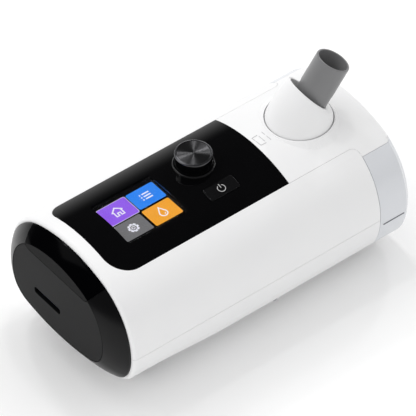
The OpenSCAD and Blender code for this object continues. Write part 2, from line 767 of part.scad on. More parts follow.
shaft_z = key_z + key_t + 3.6;
module encoder_shaft() {
    color("silver") at_knob(shaft_z) cylinder(knob_top - 2.4 - shaft_z, shaft_d / 2, shaft_d / 2);
}
module encoder_slider() {
    color("gold") at_knob(shaft_z - 1.6) cylinder(1.6, shaft_d / 2 - 0.6, shaft_d / 2 - 0.6);
}
module encoder_body() {
    bush_top = knob_bottom + knob_hollow - knob_press - 0.5;
    color("gray") at_knob(key_z + key_t) difference() {
        union() {
            linear_extrude(knob_z - ring_floor - key_z - key_t) rounded_rect(12.4, 12.4, 0.8);
            cylinder(bush_top - key_z - key_t, bush_r, bush_r);
        }
        translate([0, 0, 1]) cylinder(far, shaft_d / 2 + run_gap, shaft_d / 2 + run_gap);
    }
}

// Power button, moving square to the panel under it
button_t = 2.6;
button_travel = 0.4;
module power_button() {
    color([0.04, 0.04, 0.04]) at_button() {
        translate([0, 0, button_proud - button_t]) linear_extrude(button_t) rounded_rect(button_l, button_w, 1.6);
        translate([0, 0, -stem_l]) cylinder(stem_l - 1, 1.6, 1.6);
    }
}
switch_h = 5;
stem_l = crown_z(button_y) - key_z - key_t - switch_h - button_travel - 0.4;
module power_switch() {
    s = [button_mid[0], button_mid[1] + stem_l * sin(button_lean)];
    color("gray") translate([s[0], s[1], key_z + key_t]) {
        linear_extrude(switch_h - 1) rounded_rect(6.2, 6.2, 0.5);
        cylinder(switch_h, 1.7, 1.7);
    }
}
module key_board() {
    color("green") translate([0, 0, key_z]) linear_extrude(key_t) difference() {
        translate([(key_x[0] + key_x[1]) / 2, 0]) rounded_rect(key_x[1] - key_x[0], 56, 2);
        for (p = key_posts) translate([p[0], p[1]]) circle(1);
    }
}

// End cap: a black frame with a domed bevel, a gloss insert on top and a matt face panel
cap_rim_x = x_rim - 2.8;
cap_edge = 0.8;
bevel_first = 25;
bevel_steps = 6;
function bevel_ring(t, push) = let(
    u = (cos(bevel_first) - cos(t)) / cos(bevel_first),
    v = (sin(t) - sin(bevel_first)) / (1 - sin(bevel_first)))
    [cap_rim_x + push + (x_face - cap_rim_x) * v, cap_inset + cap_edge + push + (face_inset - cap_inset - cap_edge) * u];
function cap_rings(push) = concat(
    [for (k = [bevel_steps : -1 : 0]) bevel_ring(bevel_first + (90 - bevel_first) * k / bevel_steps, push)],
    [[cap_rim_x + cap_edge + push, cap_inset + push], [x_rim + 8, cap_inset + push]]);
insert_t = 1.4;
insert_low = (top_r - face_inset) * sin(crown_a);
insert_high = insert_low + 9;
module insert_wedge(grow) {
    z0 = crown_z(insert_low, face_inset);
    z1 = crown_z(insert_high, cap_inset);
    slope = (insert_high - insert_low) / (z1 - z0);
    translate([x_face - 2, 0, 0]) rotate([90, 0, 90]) linear_extrude(cap_rim_x + 1.6 + grow - x_face + 2) polygon([
        [-insert_low + 8 * slope - grow, z0 - 8], [insert_low - 8 * slope + grow, z0 - 8],
        [insert_high + 15 * slope + grow, z1 + 15], [-insert_high - 15 * slope - grow, z1 + 15]]);
}

flange_x = x_face + 4.3;
module end_cap_frame() {
    color([0.08, 0.08, 0.08]) difference() {
        loft(cap_rings(0));
        prism(cap_inset + 2.6, cap_rim_x + 0.5, x_rim + 9);
        prism(cap_inset + 6, flange_x, cap_rim_x + 1);
        prism(face_inset, x_face - 1, flange_x + 1);
        difference() {
            insert_wedge(0.15);
            loft(cap_rings(insert_t));
        }
    }
}
module end_cap_insert() {
    color([0.02, 0.02, 0.02]) difference() {
        intersection() {
            loft(cap_rings(0));
            insert_wedge(0);
        }
        loft(cap_rings(insert_t));
        prism(face_inset, x_face - 1, flange_x + 1);
    }
}

slot_z = (top_z + foot_h) / 2 - 4;
module end_cap_panel() {
    color([0.12, 0.12, 0.12]) difference() {
        union() {
            prism(face_inset + 0.3, x_face, flange_x);
            prism(face_inset - 3.5, flange_x, flange_x + 1.3);
        }
        translate([x_face - 1, slot_y, slot_z]) rotate([90, 0, 90]) linear_extrude(8) rounded_rect(slot_w, slot_h, 1);
    }
}

card = [32, 24, 2.1];
card_x = x_face + 2;
module card_socket() {
    x0 = flange_x + 1.3;
    color("silver") translate([x0, slot_y, slot_z]) difference() {
        translate([0, -14.5, -3.4]) cube([card_x + card[0] + 2 - x0, 29, 6.8]);
        translate([-1, -card[1] / 2 - 0.2, -card[2] / 2 - 0.2])
            cube([card_x + card[0] + 0.4 - x0 + 1, card[1] + 0.4, card[2] + 0.4]);
    }
}
module memory_card() {
    color("navy") translate([card_x + card[0], slot_y, slot_z - card[2] / 2]) rotate([0, 0, 180]) linear_extrude(card[2])
        polygon([[0, -card[1] / 2], [card[0] - 0.8, -card[1] / 2], [card[0], -card[1] / 2 + 0.8],
            [card[0], card[1] / 2 - 0.8], [card[0] - 0.8, card[1] / 2], [4, card[1] / 2], [0, card[1] / 2 - 4]]);
}

// Boards and the power inlet
board_t = 1.6;
module main_board() {
    color("green") translate([0, 0, board_z]) linear_extrude(board_t) difference() {
        translate([(board_x[0] + board_x[1]) / 2, 0]) rounded_rect(board_x[1] - board_x[0], board_w, 3);
        translate([filter_win[0] - 5, side_y(filter_win[3] + 3, wall + 8) - 1])
            square([filter_win[1] - filter_win[0] + 10, far]);
        for (p = posts) translate([p[0], p[1]]) circle(1.2);
    }
}
cap_h = 11;
module board_parts() {
    color("dimgray") translate([0, 0, board_z + board_t]) {
        translate([board_x[0] + 14, -30, 0]) cube([14, 14, 1.4]);
        translate([blower[0] + 10, -34, 0]) cube([10, 10, 1.2]);
        translate([board_x[1] - 24, -20, 0]) cube([9, 22, 6]);
        for (k = [0 : 2]) translate([board_x[0] + 10 + 14 * k, 30, 0]) cylinder(cap_h, 4.5, 4.5);
        translate([board_x[1] - 16, 20, 0]) cube([10, 14, 9]);
    }
}
module board_screws() {
    color("silver") for (p = posts) translate([p[0], p[1], board_z + board_t]) {
        cylinder(1.4, 2.2, 2.2);
        translate([0, 0, -8]) cylinder(8 + eps, 1, 1);
    }
}
jack_x = x_rim + 38;
jack_z = 27;
jack_nose_r = 4.6;
jack_out = side_y(jack_z) - 0.4;
jack_bore_r = 2.8;
module dc_jack() {
    color([0.1, 0.1, 0.1]) translate([jack_x, 0, jack_z]) {
        difference() {
            union() {
                intersection() {
                    translate([-jack_x, 0, -jack_z]) prism(wall, jack_x - 6, jack_x + 6);
                    translate([-5, jack_out - 16, -6]) cube([10, far, 12]);
                }
                translate([0, jack_out - 7, 0]) rotate([-90, 0, 0]) cylinder(7, jack_nose_r, jack_nose_r);
            }
            translate([0, jack_out - 11, 0]) rotate([-90, 0, 0]) cylinder(12, jack_bore_r, jack_bore_r);
        }
        translate([0, jack_out - 12, 0]) rotate([-90, 0, 0]) cylinder(10, 1.05, 1.05);
    }
}

// Blower: scroll housing in two halves, on rubber mounts, with its impeller and motor
mount_z = 11;
volute_z = mount_z + 5;
volute_split = volute_z + 13;
volute_top = volute_z + 24;
volute_wall = 1.6;
impeller_r = impeller_d / 2;
outlet_y = [-36, -20];
mount_spots = [for (a = [30, 150, 270]) blower + 24 * [cos(a), sin(a)]];
scroll_min = impeller_r + 3;
scroll_grow = 10 - (impeller_r - 27);
// Scroll outline, growing round to the outlet at the front
function scroll(inset) = concat(
    [for (a = [-90 : 10 : 260]) let(r = scroll_min + scroll_grow * (1 - (a + 90) / 360) - inset)
        blower + r * [cos(a), sin(a)]]);
module scroll_plan(inset) {
    polygon(scroll(inset));
    translate([blower[0], outlet_y[0] + inset])
        square([duct_x - blower[0] + (inset > 0 ? 1 : 0), outlet_y[1] - outlet_y[0] - 2 * inset]);
}
module volute_lower() {
    color("whitesmoke") difference() {
        translate([0, 0, volute_z]) linear_extrude(volute_split - volute_z) scroll_plan(0);
        translate([0, 0, volute_z + volute_wall]) linear_extrude(far) scroll_plan(volute_wall);
    }
}
module volute_upper() {
    color("whitesmoke") difference() {
        translate([0, 0, volute_split]) linear_extrude(volute_top - volute_split) scroll_plan(0);
        translate([0, 0, volute_split - 1]) linear_extrude(volute_top - volute_wall - volute_split + 1)
            scroll_plan(volute_wall);
        translate([blower[0], blower[1], 0]) cylinder(far, inlet_r, inlet_r);
    }
    color("whitesmoke") translate([blower[0], blower[1], motor_z0]) difference() {
        union() {
            cylinder(volute_wall, motor_r + 1.6, motor_r + 1.6);
            for (a = [0 : 90 : 270]) rotate([0, 0, a]) translate([motor_r + 1, -1.5, 0])
                cube([inlet_r - motor_r, 3, volute_wall]);
        }
        translate([0, 0, -1]) cylinder(volute_wall + 2, motor_r, motor_r);
    }
}
motor_r = 16;
inlet_r = 23;
motor_z0 = volute_top - volute_wall;
motor_z1 = board_z - 4;
bearing_r = 5;
bearing_t = 4;
motor_shaft_r = motor_shaft_d / 2;
module blower_mounts() {
    color("dimgray") for (m = mount_spots) translate([m[0], m[1], mount_z]) difference() {
        cylinder(volute_z - mount_z, 4.5, 4.5);
        translate([0, 0, 1.6]) difference() {
            cylinder(1.8, 6, 6);
            cylinder(1.8, 3.4, 3.4);
        }
    }
}
module motor_can() {
    color("silver") translate([blower[0], blower[1], 0]) difference() {
        translate([0, 0, motor_z0]) cylinder(motor_z1 - motor_z0, motor_r, motor_r);
        for (z = [motor_z0 - 1, motor_z1 - bearing_t]) translate([0, 0, z])
            cylinder(bearing_t + 1, bearing_r, bearing_r);
        translate([0, 0, motor_z0 - 1]) cylinder(far, motor_shaft_r + 0.6, motor_shaft_r + 0.6);
    }
}
module motor_bearings() {
    color("gray") for (z = [motor_z0, motor_z1 - bearing_t]) translate([blower[0], blower[1], z]) difference() {
        cylinder(bearing_t, bearing_r, bearing_r);
        translate([0, 0, -1]) cylinder(bearing_t + 2, motor_shaft_r + run_gap, motor_shaft_r + run_gap);
    }
}
impeller_z = volute_z + volute_wall + 1.4;
impeller_h = motor_z0 - 3 - impeller_z;
module motor_shaft() {
    color("silver") translate([blower[0], blower[1], impeller_z])
        cylinder(motor_z1 + 0.6 - impeller_z, motor_shaft_r, motor_shaft_r);
}
// Backward curved blades between a back plate and the hub
module impeller() {
    color("ivory") translate([blower[0], blower[1], impeller_z]) difference() {
        union() {
            cylinder(1.4, impeller_r, impeller_r);
            cylinder(impeller_h, motor_shaft_r + 3, motor_shaft_r + 3);
            intersection() {
                cylinder(impeller_h * 0.7, impeller_r, impeller_r);
                for (a = [0 : 360 / blades : 359]) rotate([0, 0, a]) translate([0, impeller_r * 0.72, 0]) difference() {
                    cylinder(impeller_h * 0.7, impeller_r * 0.6, impeller_r * 0.6);
                    translate([0, 0, -1]) cylinder(far, impeller_r * 0.6 - 1.1, impeller_r * 0.6 - 1.1);
                    translate([-far, -far / 2, -1]) cube([far, far, far]);
                    translate([-1, 0, -1]) cube([far, far, far]);
                }
            }
        }
        translate([0, 0, -1]) cylinder(far, motor_shaft_r, motor_shaft_r);
    }
}

// Air inlet in the rear wall
module filter_frame() {
    color("gray") difference() {
        intersection() {
            skin(wall, wall + 8, filter_win[0] - 4, filter_win[1] + 4);
            filter_window(3);
        }
        intersection() {
            skin(0, wall + 6.4, filter_win[0] - 4, filter_win[1] + 4);
            filter_window(0);
        }
        for (i = [0 : 4], j = [0 : 1]) translate([filter_win[0] + 3 + 8 * i, 0, filter_win[2] + 3 + 10 * j])
            cube([6, half_w, 8]);
    }
}
module inlet_filter() {
    color("lightblue") intersection() {
        skin(wall + 0.8, wall + 6.4, filter_win[0] + gap, filter_win[1] - gap);
        filter_window(-gap);
    }
}
cover_t = 2.2;
slats = 10;
module filter_cover() {
    l = filter_win[1] - filter_win[0];
    pitch = (l - 4) / slats;
    color("gainsboro") difference() {
        intersection() {
            skin(0, cover_t, filter_win[0], filter_win[1]);
            filter_window(0);
        }
        for (i = [0 : slats - 1]) translate([filter_win[0] + 2 + pitch * (i + 0.5) - 1.1, 0, filter_win[2] + 4])
            cube([2.2, half_w + 1, filter_win[3] - filter_win[2] - 8]);
    }
}
module muffler_foam() {
    color("lightgray") difference() {
        translate([filter_win[0] + 3, side_y(filter_win[3], wall + 8) - 20, volute_top])
            cube([38, 17, board_z - 2 - volute_top]);
        for (i = [0 : 3]) translate([filter_win[0] + 8 + 9 * i, 0, seam_z + 9]) rotate([-90, 0, 0]) cylinder(far, 3, 3);
    }
}

// Duct from the blower up and over the bay to the tank's inlet
duct_w = 14;
duct_t = 1.4;
duct_top = min(crown_z(30, wall) - 0.6, hub_z - 1);
run_y = [-29, 1];
run_x1 = inlet_port[0] + port_r + 3;
module duct_riser(t) {
    translate([duct_x + t, outlet_y[0] + t, volute_z + t])
        cube([duct_w - 2 * t, outlet_y[1] - outlet_y[0] - 2 * t, roof_top + gap - volute_z]);
}
module duct_run(t) {
    translate([duct_x + t, run_y[0] + t, roof_top + gap + t])
        cube([run_x1 - duct_x - 2 * t, run_y[1] - run_y[0] - 2 * t, duct_top - roof_top - gap - 2 * t]);
}
module air_duct() {
    color("whitesmoke") difference() {
        union() {
            duct_riser(0);
            duct_run(0);
        }
        duct_riser(duct_t);
        duct_run(duct_t);
        translate([duct_x - 1, outlet_y[0] + volute_wall, volute_z + volute_wall])
            cube([4, outlet_y[1] - outlet_y[0] - 2 * volute_wall, volute_top - volute_z - 2 * volute_wall]);
        translate([inlet_port[0], inlet_port[1], roof_z]) cylinder(5, port_r, port_r);
    }
}

// Feet and fasteners
module feet() {
    color("dimgray") for (f = foot_spots) translate([f[0], f[1], 0]) rotate_extrude()
        polygon([[0, 0], [foot_r - 0.8, 0], [foot_r, 0.8], [foot_r, foot_top], [0, foot_top]]);
}
screw_head_z = 18;
module case_screws() {
    color("silver") for (b = bosses) translate([b[0], b[1], screw_head_z - 2.4]) difference() {
        union() {
            cylinder(2.4, 2.8, 2.8);
            cylinder(seam_z + 8 - screw_head_z + 2.4, screw_r, screw_r);
        }
        translate([0, 0, -1]) cylinder(2.4, 1.3, 1.3, $fn = 6);
    }
}

base_shell();
upper_shell();
deck_cover();
tank_bay();
control_panel();
display_lens();
display_module();
knob_base_ring();
knob_cap();
knob_top_disc();
encoder_shaft();
encoder_slider();
encoder_body();
power_button();
power_switch();
key_board();
end_cap_frame();
end_cap_insert();
end_cap_panel();
card_socket();
memory_card();
main_board();
board_parts();
dc_jack();
blower_mounts();
volute_lower();
volute_upper();
impeller();
motor_shaft();
motor_can();
motor_bearings();
filter_frame();
inlet_filter();
filter_cover();
muffler_foam();
air_duct();
inlet_seal();
outlet_seal();
heater_plate();
heater_spring();
tank_body();
tank_lid();
lid_seal();
tank_heat_plate();
lid_hinge_pin();
swivel_cone();
swivel_retainer();
swivel_o_ring();
connector_tube();
feet();
case_screws();
board_screws();
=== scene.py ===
import json
import math
import bmesh
import bpy
from mathutils import Matrix, Vector


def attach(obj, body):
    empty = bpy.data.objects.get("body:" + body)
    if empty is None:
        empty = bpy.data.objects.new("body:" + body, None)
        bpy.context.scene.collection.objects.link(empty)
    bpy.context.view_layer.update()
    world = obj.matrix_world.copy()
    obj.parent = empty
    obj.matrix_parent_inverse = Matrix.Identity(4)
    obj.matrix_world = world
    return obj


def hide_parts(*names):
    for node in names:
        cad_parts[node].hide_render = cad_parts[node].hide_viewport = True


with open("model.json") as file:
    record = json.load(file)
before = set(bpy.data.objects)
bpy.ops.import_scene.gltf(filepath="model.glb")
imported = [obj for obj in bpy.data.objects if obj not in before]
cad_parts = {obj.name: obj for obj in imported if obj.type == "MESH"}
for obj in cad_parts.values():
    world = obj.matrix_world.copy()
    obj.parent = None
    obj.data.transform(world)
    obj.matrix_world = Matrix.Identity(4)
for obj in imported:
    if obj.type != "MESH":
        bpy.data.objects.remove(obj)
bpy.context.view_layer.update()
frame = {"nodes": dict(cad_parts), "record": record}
nodes = frame["nodes"]
scene = bpy.context.scene
mm = 0.001
print("stage: frame loaded,", len(nodes), "nodes")

# The photo is taken from the front left, well above
view = dict(azimuth=-38.4941, elevation=44.6497, distance=2.5, width=0.2522,
            target=(0.0056, 0.0047, 0.0535))
turn, tilt = math.radians(view["azimuth"]), math.radians(view["elevation"])
towards = Vector((math.sin(turn) * math.cos(tilt), -math.cos(turn) * math.cos(tilt), math.sin(tilt)))
camera = bpy.data.objects.new("camera", bpy.data.cameras.new("camera"))
scene.collection.objects.link(camera)
camera.location = Vector(view["target"]) + towards * view["distance"]
camera.rotation_mode = "QUATERNION"
camera.rotation_quaternion = (-towards).to_track_quat("-Z", "Y")
camera.data.lens = camera.data.sensor_width * view["distance"] / view["width"]
camera.data.clip_start, camera.data.clip_end = 0.1, 50
scene.camera = camera
scene.view_settings.view_transform = "Standard"


# Materials
def linear(code):  # sRGB hex to linear colour
    parts = [int(code[i:i + 2], 16) / 255 for i in (1, 3, 5)]
    return tuple(p / 12.92 if p <= 0.04045 else ((p + 0.055) / 1.055) ** 2.4 for p in parts) + (1.0,)


def addNode(tree, kind, inputs=None, **settings):
    node = tree.nodes.new(kind)
    for name, value in settings.items():
        setattr(node, name, value)
    for socket, value in (inputs or {}).items():
        if isinstance(value, bpy.types.NodeSocket):
            tree.links.new(value, node.inputs[socket])
        else:
            node.inputs[socket].default_value = value
    return node


def startMaterial(name, values):
    material = bpy.data.materials.new(name)
    material.use_nodes = True
    tree = material.node_tree
    shader = tree.nodes["Principled BSDF"]
    for socket, value in values.items():
        shader.inputs[socket].default_value = linear(value) if isinstance(value, str) else value
    place = addNode(tree, "ShaderNodeTexCoord")
    return material, tree, shader, place.outputs["Object"]


def noiseOf(tree, place, size, detail=2.0):  # size in mm
    noise = addNode(tree, "ShaderNodeTexNoise", {"Vector": place, "Scale": 1 / (size * mm), "Detail": detail})
    return noise.outputs["Fac"]


def bumpOn(tree, shader, height, depth):  # depth in mm
    bump = addNode(tree, "ShaderNodeBump", {"Height": height, "Strength": 1.0, "Distance": depth * mm})
    tree.links.new(bump.outputs["Normal"], shader.inputs["Normal"])


def spread(tree, shader, socket, factor, low, high):  # a pattern from one value or colour to another
    if isinstance(low, str):
        mix = addNode(tree, "ShaderNodeMix", {"Factor": factor}, data_type="RGBA")
        mix.inputs[6].default_value, mix.inputs[7].default_value = linear(low), linear(high)
        tree.links.new(mix.outputs[2], shader.inputs[socket])
    else:
        scaled = addNode(tree, "ShaderNodeMapRange", {"Value": factor, "To Min": low, "To Max": high})
        tree.links.new(scaled.outputs["Result"], shader.inputs[socket])


def moulded(name, light, dark, roughness, ior=1.5, grain=0.35, depth=0.004, patch=28, specular=0.5):
    # Injection moulded plastic. The spark eroded grain is under 0.1 mm on the real thing and is drawn at
    # grain mm, so that it softens the highlight. A broad flow mark, patch mm wide, varies tone and gloss.
    material, tree, shader, place = startMaterial(name, {
        "Base Color": light, "Roughness": roughness, "IOR": ior, "Specular IOR Level": specular})
    bumpOn(tree, shader, noiseOf(tree, place, grain, 3.0), depth)
    flow = noiseOf(tree, place, patch)
    spread(tree, shader, "Base Color", flow, dark, light)
    spread(tree, shader, "Roughness", flow, roughness * 0.94, roughness * 1.06)
    return material


def machined(name, light, dark, roughness, grain=0.5, stretch=(1, 12, 12), depth=0.003):
    # Metal with a drawn or rolled grain, 6 times as long as the tool marks that it stands for
    material, tree, shader, place = startMaterial(name, {
        "Base Color": light, "Roughness": roughness, "Metallic": 1.0})
    pulled = addNode(tree, "ShaderNodeMapping", {"Vector": place, "Scale": stretch})
    lines = noiseOf(tree, pulled.outputs["Vector"], grain * 6, 3.0)
    bumpOn(tree, shader, lines, depth)
    spread(tree, shader, "Base Color", lines, dark, light)
    spread(tree, shader, "Roughness", lines, roughness * 0.85, roughness * 1.15)
    return material


# Satin ABS with a spark eroded grain: the white body, bright and even with a soft wide highlight
whiteShell = moulded("moulded_abs_white", "#eeeeee", "#ebebec", 0.46, grain=0.4)
# The same plastic left matt, for the inner pieces
whiteInner = moulded("moulded_abs_white_matt", "#e3e4e4", "#dddede", 0.6, grain=0.6, depth=0.01)
# Polished PMMA: deep black and mirror-like, with the slight waviness of a moulded sheet
glossBlack = moulded("polished_pmma_black", "#060607", "#040405", 0.05, ior=1.49, grain=9, depth=0.0015)
# Black ABS with a fine grain: the cap's bevel, half gloss, so that the floor's light lies on it softly
bevelBlack = moulded("moulded_abs_black", "#0e0e0f", "#0b0b0c", 0.28, grain=0.4, depth=0.003, specular=0.2)
# The cap's face, matt: a coarser grain that greys it where light falls
faceBlack = moulded("textured_abs_black", "#0f0f10", "#0c0c0d", 0.42, grain=0.5, depth=0.012, specular=0.08)
# The insert, dyed right through: the deepest black of the cap
insertBlack = moulded("dyed_pmma_black", "#030304", "#020203", 0.14, ior=1.49, grain=9, depth=0.001,
                      specular=0.03)
# Black ABS with a coarse grain, for the inlet and the filter's frame: dull, slightly grey
innerBlack = moulded("moulded_abs_charcoal", "#202022", "#1a1a1b", 0.45, grain=0.5, depth=0.01)
# The knob's ring, satin: a thin grey line where its rim catches light
ringBlack = moulded("moulded_abs_satin_black", "#1b1b1c", "#171718", 0.24, grain=0.4, depth=0.003)
# The power key: like the panel but less polished, so that it shows against it
keyBlack = moulded("moulded_pmma_black", "#0d0d0f", "#0a0a0b", 0.16, ior=1.49, grain=7, depth=0.001)
# Glass over a dark filter film: near black, faintly lighter than the panel round it
filmBlack = moulded("laminated_display_film", "#131315", "#0f0f11", 0.25, grain=6, depth=0.001)
# Grey polypropylene: a waxy surface with a wide highlight
greyTube = moulded("moulded_pp_grey", "#7f7f80", "#767677", 0.34, ior=1.49, grain=0.5, depth=0.006)
# Smoke tinted polycarbonate: silver grey with a polished skin
tankPlastic = moulded("tinted_polycarbonate", "#dcdee2", "#d4d6da", 0.3, ior=1.58, grain=1.2, depth=0.002,
                      patch=36)
# The tank's end line, a polished raised bead; its colour, lighter than the sides, is a painted highlight
tankHighlightBand = moulded("polycarbonate_painted_highlight", "#eceef0", "#e2e4e8", 0.12, ior=1.58, grain=2, depth=0.001)
# Moulded rubber, dull and dark: it takes no highlight
rubber = moulded("moulded_rubber_dark", "#333335", "#2b2b2d", 0.75, grain=0.5, depth=0.02)
# Moulded silicone, grey and slightly milky, for the seals
silicone = moulded("moulded_silicone_grey", "#8b8d8f", "#7f8183", 0.5, ior=1.41, grain=1.0, depth=0.008)
# Glass filled nylon, dull black, for the parts on the boards and the bearings' holders
partPlastic = moulded("moulded_nylon_black", "#1d1d20", "#161618", 0.5, grain=0.6, depth=0.01)
# Dyed ABS of the memory card: dark blue, slightly glossy
cardPlastic = moulded("moulded_card_blue", "#1f2a54", "#1a2448", 0.42, grain=0.6, depth=0.006)
# Matt inks, slightly raised: the button's printed sign; the deck's sign, whose grey is painted shade of its
# embossed relief; the tank's level mark, a dark bar that is painted shade of a slit
ink = moulded("printed_ink_grey", "#c4c4c4", "#b4b4b4", 0.5, grain=0.3, depth=0.004)
embossShadeInk = moulded("painted_emboss_shade_pale", "#bfbfc0", "#b7b7b8", 0.5, grain=0.3, depth=0.004)
slitShadeMark = moulded("painted_slit_shade_slate", "#6c6e73", "#606268", 0.5, grain=0.3, depth=0.004)
# Rolled steel and aluminium, and turned brass: soft streaks along the grain
steel = machined("rolled_steel", "#b9b9bb", "#a6a6a9", 0.32)
aluminium = machined("rolled_aluminium", "#cfcfd2", "#bfc0c3", 0.36)
brass = machined("turned_brass", "#c9a564", "#b28f52", 0.3)
# Diamond turned edge of the knob's metal: a thin line, brighter than its face
edgeMetal = machined("diamond_turned_aluminium", "#6e6e71", "#5f5f62", 0.3, stretch=(1, 1, 8))


def startCells(name, light, dark, cell, depth, roughness):  # foam or fibre mat at its real cell size
    material, tree, shader, place = startMaterial(name, {"Base Color": light, "Roughness": roughness})
    cells = addNode(tree, "ShaderNodeTexVoronoi", {"Vector": place, "Scale": 1 / (cell * mm)}, feature="F1")
    bumpOn(tree, shader, cells.outputs["Distance"], depth)
    spread(tree, shader, "Base Color", cells.outputs["Distance"], dark, light)
    return material


# Open cell polyurethane, 1.2 mm cells, and a pressed fibre mat, 0.7 mm: pitted, without gloss
foam = startCells("open_cell_foam", "#9a9ca0", "#5c5e62", 1.2, 0.4, 0.95)
filterMat = startCells("pressed_fibre_mat", "#dfe4ea", "#aab4c0", 0.7, 0.2, 0.9)


def solderMask():
    # Glass fibre board under green lacquer, with copper tracks that show through at 2.4 mm pitch
    material, tree, shader, place = startMaterial("lacquered_fr4_green", {"Roughness": 0.3, "IOR": 1.5})
    tracks = addNode(tree, "ShaderNodeTexBrick", {
        "Vector": place, "Scale": 1 / (9.6 * mm), "Mortar Size": 0.03,
        "Brick Width": 0.7, "Row Height": 0.25})
    spread(tree, shader, "Base Color", tracks.outputs["Fac"], "#0d4c26", "#1d6b38")
    bumpOn(tree, shader, tracks.outputs["Fac"], 0.04)
    return material


def spunMetal():
    # Spun aluminium, dark anodised: rings 0.3 mm apart turn the light into lobes that meet at the middle
    material, tree, shader, place = startMaterial("spun_aluminium_dark", {
        "Base Color": "#6c6c6e", "Roughness": 0.28, "Metallic": 1.0,
        "Anisotropic": 0.95, "Anisotropic Rotation": 0.25})
    around = addNode(tree, "ShaderNodeTangent", direction_type="RADIAL", axis="Z")
    tree.links.new(around.outputs["Tangent"], shader.inputs["Tangent"])
    parts = addNode(tree, "ShaderNodeSeparateXYZ", {"Vector": place})
    flat = addNode(tree, "ShaderNodeCombineXYZ", {"X": parts.outputs["X"], "Y": parts.outputs["Y"]})
    radius = addNode(tree, "ShaderNodeVectorMath", {0: flat.outputs["Vector"]}, operation="LENGTH")
    ringPlace = addNode(tree, "ShaderNodeCombineXYZ", {"X": radius.outputs["Value"]})
    rings = noiseOf(tree, ringPlace.outputs["Vector"], 0.3, 1.0)
    bumpOn(tree, shader, rings, 0.004)
    spread(tree, shader, "Base Color", rings, "#5e5e60", "#7a7a7c")
    return material


def clearAcrylic():  # hard coated acrylic, clear: one soft reflection over the lit screen
    material, tree, shader, place = startMaterial("coated_acrylic_clear", {
        "Base Color": "#f4f4f8", "IOR": 1.3, "Transmission Weight": 1.0})
    spread(tree, shader, "Roughness", noiseOf(tree, place, 14), 0.02, 0.06)
    return material


def litField(name, upper, lower):  # one lit field of the screen, with its backlight's slight fall-off
    material, tree, shader, place = startMaterial(name, {
        "Base Color": "#101010", "Roughness": 0.5, "Emission Strength": 1.0})
    spread(tree, shader, "Emission Color", noiseOf(tree, place, 16, 1.0), lower, upper)
    return material


discMetal = spunMetal()
finishes = {
    "white_shell": whiteShell, "white_inner": whiteInner, "gloss_black": glossBlack,
    "satin_black": innerBlack, "grey_tube": greyTube, "tank_clear": tankPlastic, "knob_disc": discMetal,
    "lens": glossBlack, "display": partPlastic, "rubber": rubber, "silicone": silicone, "steel": steel,
    "aluminium": aluminium, "brass": brass, "board": solderMask(), "parts": partPlastic, "foam": foam,
    "filter": filterMat, "card": cardPlastic}
slotOf = {s["node"]: s["material_slot"] for s in frame["record"]["subparts"]}
for name, node in nodes.items():
    node.data.materials.clear()
    node.data.materials.append(finishes[slotOf[name]])
print("stage: materials made")

# The body's cross-section, as in the CAD: a ring of tangent arcs, in millimetres
body = dict(topR=90, shoulderR=43, sideR=54, cornerR=24.5, angles=(0, 21, 65, 111, 163, 180),
            steps=(6, 14, 13, 14, 5), foot=3, seam=43, rim=-102, end=112.6, face=-112.6, endRound=6,
            lift=7, liftFrom=-24, liftTo=-92)


def heading(angle):  # degrees from straight up
    return Vector((math.sin(math.radians(angle)), math.cos(math.radians(angle))))


crownC = Vector((0, -body["topR"]))
shoulderC = crownC + (body["topR"] - body["shoulderR"]) * heading(body["angles"][1])
sideC = shoulderC + (body["shoulderR"] - body["sideR"]) * heading(body["angles"][2])
cornerC = sideC + (body["sideR"] - body["cornerR"]) * heading(body["angles"][3])
lowD = cornerC.x / math.sin(math.radians(body["angles"][4]))
lowC, lowR = cornerC - lowD * heading(body["angles"][4]), body["cornerR"] + lowD
topZ = body["foot"] + lowR - lowC.y
halfW = sideC.x + body["sideR"]
arcs = list(zip((crownC, shoulderC, sideC, cornerC, lowC),
                (body["topR"], body["shoulderR"], body["sideR"], body["cornerR"], lowR),
                body["angles"][:-1], body["angles"][1:], body["steps"]))


def liftAt(x):  # the underside is drawn up towards the end cap
    s = min(1, max(0, (body["liftFrom"] - x) / (body["liftFrom"] - body["liftTo"])))
    return body["lift"] * s * s * (3 - 2 * s)


def section(inset=0, lift=0):  # the lift acts on the part below the seam
    half = [c + (r - inset) * heading(a + (b - a) * k / n) for c, r, a, b, n in arcs for k in range(n)]
    half.append(lowC + (lowR - inset) * heading(180))
    ring = [(p.x, topZ + p.y) for p in half] + [(-p.x, topZ + p.y) for p in half[-2:0:-1]]
    start = body["seam"] - 2
    return [(y, z + lift * (max(0, start - z) / (start - body["foot"])) ** 1.2) for y, z in ring]


def crownZ(y, inset=0):  # height of the top at y, on the crown or the shoulder
    crown, shoulder = body["topR"] - inset, body["shoulderR"] - inset
    if abs(y) <= crown * math.sin(math.radians(body["angles"][1])):
        return topZ + crownC.y + math.sqrt(crown ** 2 - y * y)
    return topZ + shoulderC.y + math.sqrt(shoulder ** 2 - (abs(y) - shoulderC.x) ** 2)


# Mesh helpers, all in millimetres
def cleaned(mesh, work):
    form = bmesh.new()
    form.from_mesh(mesh)
    bmesh.ops.remove_doubles(form, verts=form.verts, dist=0.001 * mm)
    work(form)
    form.to_mesh(mesh)
    form.free()


def makePiece(name, points, faces, rides=None, finish=None, place=None):
    mesh = bpy.data.meshes.new(name)
    mesh.from_pydata([tuple(c * mm for c in p) for p in points], [], faces)
    cleaned(mesh, lambda form: bmesh.ops.recalc_face_normals(form, faces=form.faces))
    thing = bpy.data.objects.new(name, mesh)
    scene.collection.objects.link(thing)
    if place:
        thing.matrix_world = place
    if finish:
        mesh.materials.append(finish)
    if rides:
        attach(thing, rides)
    return thing


def throughRings(rings):  # closed solid through rings with as many points each
    n, m = len(rings[0]), len(rings)
    faces = [(j * n + i, j * n + (i + 1) % n, (j + 1) * n + (i + 1) % n, (j + 1) * n + i)
             for j in range(m - 1) for i in range(n)]
    ends = [tuple(range(n)), tuple(range((m - 1) * n, m * n))]
    return [p for ring in rings for p in ring], faces + ends


